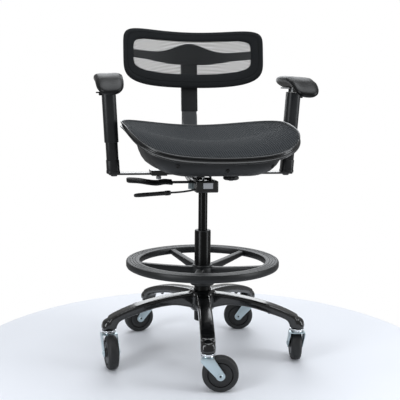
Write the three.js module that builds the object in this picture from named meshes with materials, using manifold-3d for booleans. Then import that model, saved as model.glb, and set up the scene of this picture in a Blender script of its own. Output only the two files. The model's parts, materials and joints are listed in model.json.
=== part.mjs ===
// Drafting chair with a mesh seat, a low mesh back, height-adjustable arms, a foot ring and five casters.
// Millimetres, +Z up, front of the chair towards -Y. Built around the column axis, then centred on its own
// bounding box with the floor at Z = 0.
import * as THREE from 'three';
import { mergeVertices } from 'three/addons/utils/BufferGeometryUtils.js';
import Module from 'manifold-3d';

const wasm = await Module();
wasm.setup();

// ---- clearances ----
const GAP = 0.3;          // between pieces that touch or are fixed together
const RUN = 0.5;          // between pieces that turn or slide on each other

// ---- column ----
const TUBE_D = 50;
const TUBE_WALL = 2;
const TUBE_BOTTOM = 110;
const TUBE_TOP = 391;
const TUBE_FLOOR = 6;
const TUBE_SIDES = 24;
const CYLINDER_D = 28;
const CYLINDER_BOTTOM = 250;
const CYLINDER_CONE = 516;
const CYLINDER_TOP = 548;
const CYLINDER_WALL = 3;
const CONE_TOP_D = 25;
const ROD_D = 10;
const ROD_TOP = 400;
const BUSH_LENGTH = 90;
const BUSH_FLANGE = 4;
const BUTTON_D = 8;
const BUTTON_TOP = 556.6;

// ---- five-legged base ----
const LEGS = 5;
const LEG_RADIUS = 298;       // column axis to caster stem
const LEG_WIDTH = 40;
const LEG_EDGE = 8;
const BASE_TURN = -7.2;       // degrees the base is turned on the column
const HUB_D = 84;
const HUB_BOTTOM = 150;
const HUB_TOP = 206;
const SOCKET_D = 43;
const SOCKET_BOTTOM = 110;
const SOCKET_TOP = 145;

// ---- casters ----
const WHEEL_D = 100;
const WHEEL_TRAIL = 34;
const TREAD_WIDTH = 32;
const TREAD_FLAT = 18;
const CORE_D = 66;
const CORE_WIDTH = 39;
const CORE_WEB = 13;
const AXLE_D = 8;
const FORK_WIDTH = 47;
const FORK_SHEET = 3;
const RACE_D = 38;
const STEM_D = 11;
const STEM_TOP = 136;
const WHEEL_SIDES = 20;
const CASTER_TURNS = [-10.5, 79.5, 169.5, 194.5, -81.5];   // degrees each caster trails towards

// ---- foot ring ----
const RING_D = 473;
const RING_WIDTH = 42;
const RING_HEIGHT = 22;
const RING_TOP = 304;
const RING_TURN = 20.5;
const RING_SIDES = 40;
const SPOKE_WIDTH = 26;
const SPOKE_HEIGHT = 16;
const RING_HUB_D = 76;
const RING_HUB_BOTTOM = 223;

// ---- mechanism ----
const BOX_WIDTH = 68.6;
const BOX_FRONT = -70;
const BOX_BACK = 62;
const BOX_BOTTOM = 517;
const BOX_TOP = 552;
const BOX_WALL = 3.3;
const PIN_D = 10;
const TILT_Y = 30;
const TILT_Z = 540;
const RECLINE_Y = 48;
const RECLINE_Z = 534;

// ---- seat ----
const SEAT_WIDTH = 546;         // before the taper
const SEAT_FRONT_TAPER = 0.15;
const SEAT_Y = -67;
const SEAT_FORWARD = 248;
const SEAT_BACKWARD = 210;
const SEAT_Z = 673;
const SEAT_RIM = 26;
const SEAT_RIM_HEIGHT = 16;
const SEAT_SHEET = 2.4;
const PAN_INSET = 44;
const PAN_Z = 580;
const PLATE = 8;

// ---- arms ----
const ARM_X = 272;
const ARM_Y = 25;
const ARM_LEAN_OUT = 3;
const ARM_LEAN_FRONT = 3;
const BAR_WIDTH = 44;
const BAR_THICK = 6;
const BAR_INNER = 60;
const POST_X = 36;
const POST_Y = 40;
const COLLAR = 3;
const COLLAR_HEIGHT = 39;
const POST_HEIGHT = 180;
const SLEEVE_FROM = 92;
const SLEEVE_TO = 248;
const SLEEVE_WALL = 2.6;
const PAD_WIDTH = 80;
const PAD_REAR = 100;
const PAD_FRONT = 150;
const PAD_THICK = 30;
const PAD_DROOP = 50;
const PAD_SWIVEL = [0, 0];

// ---- back ----
const BACK_Y = 262;
const BACK_Z = 932;
const BACK_LEAN = 7;
const BACK_WIDTH = 460;
const BACK_UP = 91;
const BACK_DOWN = 96;
const BACK_DEPTH = 88;          // how far the sides come forward
const BACK_THICK = 16;
const BAND_SIDE = 35;
const BAND_TOP = 31;
const BAND_BOTTOM = 46;
const SUPPORT_THICK = 10;
const SPINE_WIDTH = 47;
const SPINE_THICK = 9;
const SPINE_TOP = -17;          // below the middle of the back, along the lean
const JACKET_WALL = 3.6;
const JACKET_BOTTOM = -171;
const JACKET_TOP = 46;

const rad = THREE.MathUtils.degToRad;

// ---- helpers ----
function tidy(geometry) {
  geometry.deleteAttribute('normal');
  geometry.deleteAttribute('uv');
  const merged = mergeVertices(geometry, 1e-3);
  const index = merged.index.array;
  const keep = [];
  for (let i = 0; i < index.length; i += 3) {
    const [a, b, c] = [index[i], index[i + 1], index[i + 2]];
    if (a !== b && b !== c && c !== a) keep.push(a, b, c);
  }
  merged.setIndex(keep);
  return merged;
}

function solid(geometry) {
  const g = tidy(geometry.clone());
  return new wasm.Manifold(new wasm.Mesh({
    numProp: 3,
    vertProperties: new Float32Array(g.attributes.position.array),
    triVerts: new Uint32Array(g.index.array),
  }));
}

function geometryOf(manifold) {
  const mesh = manifold.getMesh();
  const g = new THREE.BufferGeometry();
  const xyz = new Float32Array(mesh.numVert * 3);
  for (let i = 0; i < mesh.numVert; i++) {
    for (let k = 0; k < 3; k++) xyz[3 * i + k] = mesh.vertProperties[mesh.numProp * i + k];
  }
  g.setAttribute('position', new THREE.BufferAttribute(xyz, 3));
  g.setIndex(Array.from(mesh.triVerts));
  return g;
}

function join(first, ...rest) {
  return geometryOf(rest.reduce((sum, g) => sum.add(solid(g)), solid(first)));
}

function cut(first, ...rest) {
  return geometryOf(rest.reduce((sum, g) => sum.subtract(solid(g)), solid(first)));
}

// A profile of [radius, height] pairs turned about Z; it starts and ends on the axis or closes on itself.
function turned(profile, sides) {
  let area = 0;
  for (let i = 0; i < profile.length; i++) {
    const [x0, y0] = profile[i];
    const [x1, y1] = profile[(i + 1) % profile.length];
    area += x0 * y1 - x1 * y0;
  }
  const points = (area > 0 ? profile : [...profile].reverse()).map(([x, y]) => new THREE.Vector2(x, y));
  if (Math.min(...profile.map((p) => p[0])) > 0) points.push(points[0].clone());
  return new THREE.LatheGeometry(points, sides).rotateX(Math.PI / 2);
}

function cylinder(diameter, from, to, sides = 20) {
  return turned([[0, from], [diameter / 2, from], [diameter / 2, to], [0, to]], sides);
}

function box(x0, x1, y0, y1, z0, z1) {
  return new THREE.BoxGeometry(x1 - x0, y1 - y0, z1 - z0)
    .translate((x0 + x1) / 2, (y0 + y1) / 2, (z0 + z1) / 2);
}

function roundedShape(width, depth, radius) {
  const w = width / 2 - radius;
  const d = depth / 2 - radius;
  const shape = new THREE.Shape();
  shape.absarc(w, d, radius, 0, Math.PI / 2);
  shape.absarc(-w, d, radius, Math.PI / 2, Math.PI);
  shape.absarc(-w, -d, radius, Math.PI, 1.5 * Math.PI);
  shape.absarc(w, -d, radius, 1.5 * Math.PI, 2 * Math.PI);
  return shape;
}

function prism(shape, from, to, curveSegments = 3) {
  return new THREE.ExtrudeGeometry(shape, { depth: to - from, bevelEnabled: false, curveSegments })
    .translate(0, 0, from);
}

// A side view of [y, z] points given a thickness across X, with rounded long edges.
function sideways(points, width, edge, steps = 2) {
  const shape = new THREE.Shape(points.map(([y, z]) => new THREE.Vector2(y, z)));
  const depth = width - 2 * edge;
  return new THREE.ExtrudeGeometry(shape, {
    depth, bevelEnabled: edge > 0, bevelThickness: edge, bevelSize: edge, bevelOffset: -edge, bevelSegments: steps,
  }).translate(0, 0, -depth / 2).rotateX(Math.PI / 2).rotateZ(Math.PI / 2);
}

// The outline of a strip of even thickness that follows a line of points.
function strip(line, thickness) {
  const left = [];
  const right = [];
  line.forEach(([y, z], i) => {
    const [ya, za] = line[Math.max(i - 1, 0)];
    const [yb, zb] = line[Math.min(i + 1, line.length - 1)];
    const length = Math.hypot(yb - ya, zb - za);
    const ny = -(zb - za) / length * thickness / 2;
    const nz = (yb - ya) / length * thickness / 2;
    left.push([y + ny, z + nz]);
    right.push([y - ny, z - nz]);
  });
  return [...right, ...left.reverse()];
}

function curvePoints(points, count) {
  const curve = new THREE.CatmullRomCurve3(points.map((p) => new THREE.Vector3(...p)));
  return curve.getPoints(count);
}

function rod(points, diameter, steps, sides = 8) {
  const curve = new THREE.CatmullRomCurve3(points.map((p) => new THREE.Vector3(...p)));
  const section = new THREE.Shape();
  section.absarc(0, 0, diameter / 2, 0, 2 * Math.PI);
  return new THREE.ExtrudeGeometry(section, { extrudePath: curve, steps, curveSegments: sides });
}

function reshape(geometry, move) {
  const p = geometry.attributes.position;
  for (let i = 0; i < p.count; i++) p.setXYZ(i, ...move(p.getX(i), p.getY(i), p.getZ(i)));
  return geometry;
}

function piece(name, geometry, { color, roughness = 0.5, metalness = 0 }) {
  const material = new THREE.MeshStandardMaterial({ color, roughness, metalness });
  const mesh = new THREE.Mesh(tidy(geometry), material);
  mesh.name = name;
  return mesh;
}

function group(parent, x = 0, y = 0, z = 0) {
  const g = new THREE.Group();
  g.position.set(x, y, z);
  parent.add(g);
  return g;
}

const GLOSS_BLACK = { color: 0x17181a, roughness: 0.25 };
const BLACK = { color: 0x26282b, roughness: 0.5 };
const CHARCOAL = { color: 0x33363a, roughness: 0.6 };
const ZINC = { color: 0xc9d6dc, roughness: 0.35, metalness: 1 };
const CHROME = { color: 0xd5d9dd, roughness: 0.12, metalness: 1 };
const STEEL = { color: 0x9da3a8, roughness: 0.3, metalness: 1 };

// ---- base ----
function starBase() {
  const hub = turned([
    [0, HUB_BOTTOM], [HUB_D / 2 - 12, HUB_BOTTOM], [HUB_D / 2, HUB_BOTTOM + 14], [HUB_D / 2, HUB_TOP - 6],
    [HUB_D / 2 - 6, HUB_TOP], [TUBE_D / 2 + 5, HUB_TOP + 3], [0, HUB_TOP + 3],
  ], 24);
  const r = LEG_RADIUS / 298;
  const top = [[28, 202], [70, 200], [118, 195], [165, 188], [203, 180], [235, 172], [260, 163.5], [290, 150]];
  const bottom = [[298, 122], [276, 131.5], [217, 150], [160, 163.5], [103, 168], [60, 160], [28, 152]];
  const side = [...top, ...bottom].map(([y, z]) => [y * r, z]);
  const legs = [];
  for (let k = 0; k < LEGS; k++) {
    const turn = 2 * Math.PI * k / LEGS;
    legs.push(sideways(side, LEG_WIDTH, LEG_EDGE, 1).rotateZ(Math.PI + turn));
    legs.push(turned([
      [0, SOCKET_BOTTOM], [SOCKET_D / 2, SOCKET_BOTTOM], [SOCKET_D / 2, SOCKET_TOP - 6],
      [SOCKET_D / 2 - 5, SOCKET_TOP], [0, SOCKET_TOP + 4],
    ], 16).translate(0, -LEG_RADIUS, 0).rotateZ(turn));
  }
  const holes = [cylinder(TUBE_D + 2 * GAP, HUB_BOTTOM - 5, HUB_TOP + 10, TUBE_SIDES)];
  for (let k = 0; k < LEGS; k++) {
    holes.push(cylinder(STEM_D + 2 * GAP, SOCKET_BOTTOM - 5, STEM_TOP + 2, 10)
      .translate(0, -LEG_RADIUS, 0).rotateZ(2 * Math.PI * k / LEGS));
  }
  return cut(join(hub, ...legs), ...holes);
}

function casterStem() {
  const under = SOCKET_BOTTOM - GAP;
  const seat = under - 6.1;
  return turned([
    [0, seat - 11.4], [5.3, seat - 11.4], [5.3, seat - 9.4], [4.5, seat - 9.4], [4.5, seat], [RACE_D / 2 - 1.5, seat],
    [RACE_D / 2, seat + 2], [RACE_D / 2, under], [STEM_D / 2, under], [STEM_D / 2, STEM_TOP], [0, STEM_TOP],
  ], 12);
}

function casterFork() {
  const seat = SOCKET_BOTTOM - GAP - 6.1;
  const crown = seat - GAP - 5.8;
  const half = FORK_WIDTH / 2;
  const axis = WHEEL_D / 2;
  const cup = turned([[4.8, crown - 0.5], [14.5, crown - 0.5], [14.5, seat - GAP], [4.8, seat - GAP]], 12);
  const plate = box(-20, 8, -half + 1, half - 1, crown - 3, crown);
  const side = new THREE.Shape();
  side.moveTo(-20, crown);
  side.lineTo(-20, crown - 9);
  side.lineTo(WHEEL_TRAIL - 12, axis - 6);
  side.absarc(WHEEL_TRAIL, axis, 13, Math.PI * 1.15, Math.PI * 2.12, false);
  side.lineTo(18, crown);
  const cheek = (y) => new THREE.ExtrudeGeometry(side, { depth: FORK_SHEET, bevelEnabled: false, curveSegments: 4 })
    .rotateX(Math.PI / 2).translate(0, y, 0);
  const axle = cylinder(AXLE_D, -half - 0.01, half + 0.01, 10);
  const headA = cylinder(AXLE_D + 5, half - 1, half + 2, 10);
  const headB = cylinder(AXLE_D + 5, -half - 2, -half + 1, 10);
  const across = (g) => g.rotateX(Math.PI / 2).translate(WHEEL_TRAIL, 0, axis);
  const hole = cylinder(9.6, crown - 10, seat + 5, 12);
  const body = join(plate, cup, cheek(half), cheek(-half + FORK_SHEET), across(axle), across(headA), across(headB));
  return cut(body, hole);
}

function wheelCore() {
  const bore = AXLE_D / 2 + GAP;
  const rim = CORE_D / 2;
  const half = CORE_WIDTH / 2;
  return turned([
    [bore, -half], [13, -half], [15, -CORE_WEB], [rim, -CORE_WEB], [rim, CORE_WEB], [15, CORE_WEB],
    [13, half], [bore, half],
  ], WHEEL_SIDES).rotateX(Math.PI / 2).translate(WHEEL_TRAIL, 0, WHEEL_D / 2);
}

function tyre() {
  const inner = (CORE_D / 2 + GAP) / Math.cos(Math.PI / WHEEL_SIDES);
  const outer = WHEEL_D / 2 / Math.cos(Math.PI / WHEEL_SIDES);
  const w = TREAD_WIDTH / 2;
  return turned([
    [inner, -w], [outer - 5, -w], [outer, -TREAD_FLAT / 2], [outer, TREAD_FLAT / 2], [outer - 5, w], [inner, w],
  ], WHEEL_SIDES).rotateX(Math.PI / 2).rotateY(Math.PI / WHEEL_SIDES).translate(WHEEL_TRAIL, 0, WHEEL_D / 2);
}

function addCasters(base) {
  CASTER_TURNS.forEach((trail, k) => {
    const angle = rad(-90 + BASE_TURN + 360 * k / LEGS);
    const caster = group(base, LEG_RADIUS * Math.cos(angle), LEG_RADIUS * Math.sin(angle), 0);
    caster.rotation.z = rad(trail);
    const n = k + 1;
    caster.add(piece(`caster_stem_${n}`, casterStem(), CHROME));
    caster.add(piece(`caster_fork_${n}`, casterFork(), ZINC));
    caster.add(piece(`wheel_core_${n}`, wheelCore(), CHARCOAL));
    caster.add(piece(`tyre_${n}`, tyre(), { color: 0x37393c, roughness: 0.8 }));
  });
}

// ---- column ----
function outerTube() {
  const out = TUBE_D / 2;
  const inn = out - TUBE_WALL;
  return turned([
    [ROD_D / 2 + GAP, TUBE_BOTTOM], [out, TUBE_BOTTOM], [out, TUBE_TOP], [inn, TUBE_TOP],
    [inn, TUBE_BOTTOM + TUBE_FLOOR], [ROD_D / 2 + GAP, TUBE_BOTTOM + TUBE_FLOOR],
  ], TUBE_SIDES);
}

function guideBush() {
  const out = TUBE_D / 2 - TUBE_WALL - GAP;
  const inn = CYLINDER_D / 2 + RUN;
  return turned([
    [inn, TUBE_TOP - BUSH_LENGTH], [out, TUBE_TOP - BUSH_LENGTH], [out, TUBE_TOP + GAP],
    [TUBE_D / 2, TUBE_TOP + GAP], [TUBE_D / 2 - 1, TUBE_TOP + BUSH_FLANGE], [inn, TUBE_TOP + BUSH_FLANGE],
  ], TUBE_SIDES);
}

function thrustBearing() {
  const z = TUBE_BOTTOM + TUBE_FLOOR + GAP;
  return turned([[ROD_D / 2 + GAP, z], [18, z], [18, z + 6], [ROD_D / 2 + GAP, z + 6]], 16);
}

function pistonRod() {
  const r = ROD_D / 2;
  return turned([
    [0, TUBE_BOTTOM - 6], [r + 3, TUBE_BOTTOM - 6], [r + 3, TUBE_BOTTOM - GAP], [r, TUBE_BOTTOM - GAP],
    [r, ROD_TOP], [0, ROD_TOP],
  ], 12);
}

function liftCylinder() {
  const out = CYLINDER_D / 2;
  const inn = out - CYLINDER_WALL;
  const bore = BUTTON_D / 2 + GAP;
  const pocket = BUTTON_TOP - 30;
  return turned([
    [0, pocket - 8], [inn, pocket - 12], [inn, CYLINDER_BOTTOM + 6], [ROD_D / 2 + RUN, CYLINDER_BOTTOM + 6],
    [ROD_D / 2 + RUN, CYLINDER_BOTTOM], [out, CYLINDER_BOTTOM], [out, CYLINDER_CONE],
    [CONE_TOP_D / 2, CYLINDER_TOP], [bore, CYLINDER_TOP], [bore, pocket], [0, pocket],
  ], 20);
}

function releaseButton() {
  return cylinder(BUTTON_D, BUTTON_TOP - 26, BUTTON_TOP, 14);
}

function footRing() {
  const out = RING_D / 2;
  const inn = out - RING_WIDTH;
  const low = RING_TOP - RING_HEIGHT;
  const groove = 1.4;
  const ridge = [];
  for (const d of [13, 24]) {
    ridge.push([out - d, RING_TOP], [out - d - 0.8, RING_TOP - groove], [out - d - 2.2, RING_TOP - groove],
      [out - d - 3, RING_TOP]);
  }
  const rim = turned([
    [inn + 4, low], [out - 5, low], [out, low + 6], [out, RING_TOP - 4], [out - 3.5, RING_TOP], ...ridge,
    [inn + 3.5, RING_TOP], [inn, RING_TOP - 4], [inn, low + 4],
  ], RING_SIDES);
  const r = RING_HUB_D / 2;
  const hub = turned([
    [0, RING_HUB_BOTTOM], [r, RING_HUB_BOTTOM], [r, RING_TOP - 14], [r - 6, RING_TOP - 8], [r - 6, RING_TOP], [0, RING_TOP],
  ], 24);
  const spokes = [];
  for (let k = 0; k < LEGS; k++) {
    const z = RING_TOP - 5;
    const side = [[20, z - SPOKE_HEIGHT - 14], [20, z], [inn + 10, z], [inn + 10, z - 14], [70, z - SPOKE_HEIGHT]];
    spokes.push(sideways(side, SPOKE_WIDTH, 5, 1).rotateZ(-Math.PI / 2 + 2 * Math.PI * k / LEGS));
  }
  const hole = cylinder(TUBE_D + 2 * RUN, RING_HUB_BOTTOM - 5, RING_TOP + 5, TUBE_SIDES);
  return cut(join(rim, hub, ...spokes), hole);
}

// ---- mechanism ----
const PLATE_UNDER = PAN_Z - GAP - PLATE;
const BAR_TOP = PLATE_UNDER - GAP;
const BAR_UNDER = BAR_TOP - BAR_THICK;
const RAIL = 2.5;
const LOCK_X = 62;
const LOCK_Y = 78;
const LEVER_Y = -45;
const PADDLE_Y = -20;
const PADDLE_Z = 545;
const LEVER_X = -BOX_WIDTH / 2 - 4.2;
const GRIP_X = -216;
const GRIP_Z = 509;
const GRIP_RISE = 7;
const GRIP_LENGTH = 110;
const GRIP_D = 13;

function mechHousing() {
  const w = BOX_WIDTH / 2;
  const outer = new THREE.ExtrudeGeometry(roundedShape(BOX_WIDTH, BOX_BACK - BOX_FRONT, 6), {
    depth: BOX_TOP - BOX_BOTTOM - 4, bevelEnabled: true, bevelThickness: 2, bevelSize: 2, bevelOffset: -2,
    bevelSegments: 1, curveSegments: 2,
  }).translate(0, (BOX_FRONT + BOX_BACK) / 2, BOX_BOTTOM + 2);
  const pocket = box(-w + BOX_WALL, w - BOX_WALL, BOX_FRONT + BOX_WALL, BOX_BACK + 9, BOX_BOTTOM + 4, BOX_TOP + 9);
  const boss = cylinder(CYLINDER_D + 11, BOX_BOTTOM + 1, CYLINDER_TOP - 3, 20);
  const bore = cylinder(CYLINDER_D + 2 * GAP + 0.4, BOX_BOTTOM - 9, CYLINDER_TOP + 9, 20);
  const tilt = pin(PIN_D + 2 * GAP, -w - 9, w + 9, TILT_Y, TILT_Z);
  const recline = pin(PIN_D + 2 * GAP, -w - 9, w + 9, RECLINE_Y, RECLINE_Z);
  const levers = pin(8 + 2 * GAP, -w - 9, 0, PADDLE_Y, PADDLE_Z);
  return cut(join(cut(outer, pocket), boss), bore, tilt, recline, levers);
}

function pin(diameter, from, to, y, z, sides = 12) {
  return cylinder(diameter, from, to, sides).rotateY(Math.PI / 2).translate(0, y, z);
}

function axlePin(y, z) {
  const w = BOX_WIDTH / 2;
  return join(
    pin(PIN_D, -w - 1, w + 1, y, z),
    pin(PIN_D + 5, w + GAP, w + 3, y, z),
    pin(PIN_D + 5, -w - 3, -w - GAP, y, z),
  );
}

function heightLever() {
  const over = BUTTON_TOP + GAP + 3;
  return rod([
    [GRIP_X + GRIP_LENGTH - 6, LEVER_Y, GRIP_Z + GRIP_RISE], [-82, LEVER_Y, GRIP_Z + GRIP_RISE + 1.5],
    [-58, LEVER_Y, GRIP_Z + GRIP_RISE + 4], [LEVER_X - 4, LEVER_Y, GRIP_Z + GRIP_RISE + 9],
    [LEVER_X, LEVER_Y, GRIP_Z + GRIP_RISE + 18], [LEVER_X, LEVER_Y, 548], [LEVER_X + 5, LEVER_Y + 5, over - 1],
    [LEVER_X + 14, LEVER_Y + 16, over], [-12, -14, over], [0, 0, over], [4, 5, over],
  ], 6, 20, 3);
}

function heightGrip() {
  const r = GRIP_D / 2;
  const profile = [[0, 0], [r - 3, 0.5], [r - 1, 5], [r, 16], [r, GRIP_LENGTH - 8], [r - 1, GRIP_LENGTH],
    [3.4, GRIP_LENGTH], [3.4, GRIP_LENGTH - 15], [0, GRIP_LENGTH - 15]];
  return turned(profile, 12).rotateY(Math.PI / 2).rotateY(-Math.atan2(GRIP_RISE, GRIP_LENGTH))
    .translate(GRIP_X, LEVER_Y, GRIP_Z);
}

function paddle() {
  const line = curvePoints([
    [0, -100, PADDLE_Z], [0, -122, PADDLE_Z + 1.5], [0, -146, PADDLE_Z - 1], [0, -170, PADDLE_Z + 1],
    [0, -200, PADDLE_Z + 6.5], [0, -238, PADDLE_Z + 9],
  ], 14).map((p) => [p.y, p.z]);
  const blade = sideways(strip(line, 6), 28, 2, 1).rotateZ(-Math.PI / 2).translate(0, PADDLE_Y, 0);
  return join(blade, pin(8, -106, -BOX_WIDTH / 2 + BOX_WALL + 2, PADDLE_Y, PADDLE_Z, 12));
}

function lockLever() {
  const blade = new THREE.Shape();
  blade.moveTo(-8, -8);
  blade.lineTo(20, -7);
  blade.lineTo(100, -5);
  blade.lineTo(130, -7);
  blade.lineTo(135, 0);
  blade.lineTo(130, 7);
  blade.lineTo(100, 5);
  blade.lineTo(20, 7);
  blade.lineTo(-8, 8);
  const z = PLATE_UNDER - GAP;
  return join(prism(blade, z - 13, z - 9), cylinder(14, z - 10, z, 14));
}

function leverBracket() {
  const w = BOX_WIDTH / 2 + GAP;
  return join(
    box(-w - 12, -w, -4, -1.5, 522, 546),
    box(-w - 1.6, -w, -4, 14, 522, 546),
  );
}

// ---- seat ----
const RIM_OUT = { a: SEAT_WIDTH / 2, up: SEAT_BACKWARD, down: SEAT_FORWARD, nUp: 2.4, nDown: 4.6 };

function inset(o, side, up = side, down = side) {
  return { ...o, a: o.a - side, up: o.up - up, down: o.down - down };
}

// Where the outline crosses the direction (c, s), as a point in millimetres.
function edgePoint(o, c, s) {
  const n = s > 0 ? o.nUp : o.nDown;
  const k = (Math.abs(c) ** n + Math.abs(s) ** n) ** (-1 / n);
  return [o.a * k * c, (s > 0 ? o.up : o.down) * k * s];
}

// A closed ring between two outlines; section pairs are [0 outer .. 1 inner, height].
function ringBetween(outer, inner, section, sides) {
  const lathe = turned(section.map(([t, h]) => [100 - 50 * t, h]), sides);
  return reshape(lathe, (x, y, z) => {
    const r = Math.hypot(x, y);
    const t = (100 - r) / 50;
    const [ox, oy] = edgePoint(outer, x / r, y / r);
    const [ix, iy] = edgePoint(inner, x / r, y / r);
    return [ox + (ix - ox) * t, oy + (iy - oy) * t, z];
  });
}

// A sheet that fills an outline, with a grid fine enough to follow a curved surface.
function sheetIn(o, thickness, nx, ny) {
  return reshape(new THREE.BoxGeometry(2, 2, thickness, nx, ny, 1), (u, v, z) => {
    const m = Math.max(Math.abs(u), Math.abs(v));
    if (m < 1e-9) return [0, 0, z];
    const r = Math.hypot(u, v);
    const [ex, ey] = edgePoint(o, u / r, v / r);
    return [ex * m, ey * m, z];
  });
}

function seatSurface(x, y) {
  const u = x / RIM_OUT.a;
  const w = Math.max(y, 0) / RIM_OUT.up;
  const f = Math.max(-y, 0) / RIM_OUT.down;
  return SEAT_Z + 50 * u * u * (1 - f) + 42 * w ** 1.2 - 40 * f ** 3 + 19 * u * u * f - 7 * u ** 4 * w;
}

// From flat outline coordinates to the tapered, dished seat.
function onSeat(x, y, z) {
  const taper = 1 - SEAT_FRONT_TAPER * (1 - y / RIM_OUT.down) / 2;
  return [x * taper, y + SEAT_Y, seatSurface(x, y) + z];
}

function seatFrame() {
  const h = SEAT_RIM_HEIGHT;
  const section = [[0, -7], [0.06, -2], [0.25, 0], [1, -1], [1, -8], [0.75, -h], [0.15, -h]];
  return reshape(ringBetween(RIM_OUT, inset(RIM_OUT, SEAT_RIM), section, 48), onSeat);
}

function seatMesh() {
  const flat = sheetIn(inset(RIM_OUT, SEAT_RIM + 1), SEAT_SHEET, 10, 10);
  return reshape(flat, (x, y, z) => onSeat(x, y, z - 3 - SEAT_SHEET / 2));
}

function seatPan() {
  const edge = inset(RIM_OUT, PAN_INSET);
  const section = [[0, 0], [82, 0], [93, 22], [98, 60], [100, 100], [97.5, 100], [95, 60], [89, 26], [79, 6], [0, 6]];
  const lathe = turned(section, 36);
  return reshape(lathe, (x, y, z) => {
    const r = Math.hypot(x, y);
    const [ex, ey] = r > 1e-6 ? edgePoint(edge, x / r, y / r) : [0, 0];
    const [px, py] = [ex * r / 100, ey * r / 100];
    const [sx, sy, top] = onSeat(px, py, -SEAT_RIM_HEIGHT - GAP);
    const low = PAN_Z + 34 * (Math.max(Math.abs(sx) - 84, 0) / 110) ** 2;
    return [sx, sy, low + (top - low) * z / 100];
  });
}

const CHANNELS = [[-157, -111], [68, 118]];

function seatPlate() {
  const flat = box(-75, 75, -130, 100, PLATE_UNDER, PLATE_UNDER + PLATE);
  const wing = box(-160, 160, ARM_Y - 34, ARM_Y + 34, PLATE_UNDER, PLATE_UNDER + PLATE);
  const inside = BAR_WIDTH / 2 + RUN;
  const rails = [];
  for (const [x0, x1] of CHANNELS) {
    rails.push(box(x0, x1, ARM_Y - inside - RAIL, ARM_Y + inside + RAIL, BAR_UNDER - GAP - RAIL, BAR_UNDER - GAP));
    rails.push(box(x0, x1, ARM_Y - inside - RAIL, ARM_Y - inside, BAR_UNDER - GAP - RAIL, PLATE_UNDER + 1));
    rails.push(box(x0, x1, ARM_Y + inside, ARM_Y + inside + RAIL, BAR_UNDER - GAP - RAIL, PLATE_UNDER + 1));
  }
  const ears = [-1, 1].map((s) => {
    const x = s * (BOX_WIDTH / 2 - BOX_WALL - 1 - 2);
    return box(x - 2, x + 2, TILT_Y - 11, TILT_Y + 11, TILT_Z - 10, PLATE_UNDER + 1);
  });
  return cut(join(flat, wing, ...rails, ...ears), pin(PIN_D + 2 * GAP, -60, 60, TILT_Y, TILT_Z));
}

function clampBolt() {
  const top = BAR_UNDER - 2 * GAP - RAIL;
  return turned([[0, top - 12], [6, top - 12], [8, top - 10], [8, top - 3], [5, top - 2], [5, top], [0, top]], 12);
}

function clampKnob() {
  const top = BAR_UNDER - 2 * GAP - RAIL;
  return turned([[0, top - 19], [8, top - 19], [9, top - 17], [21, top - 16], [25, top - 12], [25, top - 7],
    [20, top - 3], [10, top - 2], [10, top], [0, top]], 18);
}

// ---- arms ----
function armBar(side) {
  const end = ARM_X + POST_X / 2 - 4;
  const bar = box(BAR_INNER, end, ARM_Y - BAR_WIDTH / 2, ARM_Y + BAR_WIDTH / 2, BAR_UNDER, BAR_TOP);
  const cap = cylinder(20, BAR_UNDER - 5, BAR_UNDER + 1, 16).translate(ARM_X - 2, ARM_Y, 0);
  const g = join(bar, cap);
  return side < 0 ? g.rotateZ(Math.PI).translate(0, 2 * ARM_Y, 0) : g;
}

function armPost(tilt) {
  const collar = prism(roundedShape(POST_X + COLLAR, POST_Y + COLLAR, 14), -20, COLLAR_HEIGHT);
  const post = prism(roundedShape(POST_X, POST_Y, 13), 0, POST_HEIGHT);
  const below = new THREE.BoxGeometry(300, 300, 100).translate(0, 0, -50 + GAP).applyMatrix4(tilt.clone().invert());
  return cut(join(collar, post), below);
}

function armSleeve() {
  const outer = prism(roundedShape(POST_X + 2 * SLEEVE_WALL + 2 * GAP, POST_Y + 2 * SLEEVE_WALL + 2 * GAP, 15),
    SLEEVE_FROM, SLEEVE_TO);
  const inner = prism(roundedShape(POST_X + 2 * GAP, POST_Y + 2 * GAP, 13 + GAP), SLEEVE_FROM - 5, SLEEVE_TO - 8);
  return cut(outer, inner);
}

function armLever(side) {
  const x = POST_X / 2 + SLEEVE_WALL + 2 * GAP;
  const g = join(box(x, x + 8, -9, 9, SLEEVE_TO - 16, SLEEVE_TO - 5), box(x + 6, x + 16, -9, 9, SLEEVE_TO - 9, SLEEVE_TO - 5));
  return side < 0 ? g.rotateZ(Math.PI) : g;
}

const PAD_UNDER = SLEEVE_TO + 14;

function padPlate() {
  const boss = cylinder(34, SLEEVE_TO + GAP, SLEEVE_TO + 11, 16);
  const plate = prism(roundedShape(56, 120, 14), SLEEVE_TO + 9, PAD_UNDER - GAP);
  return join(boss, plate);
}

function armPad() {
  const t = PAD_THICK;
  const z = PAD_UNDER;
  const r = PAD_REAR;
  const f = PAD_FRONT;
  const side = [
    [r - 6, z + 1], [r, z + 9], [r - 2, z + t - 9], [r - 12, z + t - 3], [r * 0.55, z + t], [-f * 0.1, z + t],
    [-f * 0.45, z + t - 4], [-f * 0.7, z + t - 13], [-f * 0.88, z + t - 25], [-f * 0.98, z + t - 39],
    [-f, z + t - PAD_DROOP], [-f * 0.96, z + t - PAD_DROOP - 8], [-f * 0.88, z + t - PAD_DROOP - 8],
    [-f * 0.76, z + t - PAD_DROOP + 5], [-f * 0.6, z - 4], [-f * 0.45, z], [r * 0.5, z],
  ];
  return sideways(side, PAD_WIDTH, 9, 2);
}

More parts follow.
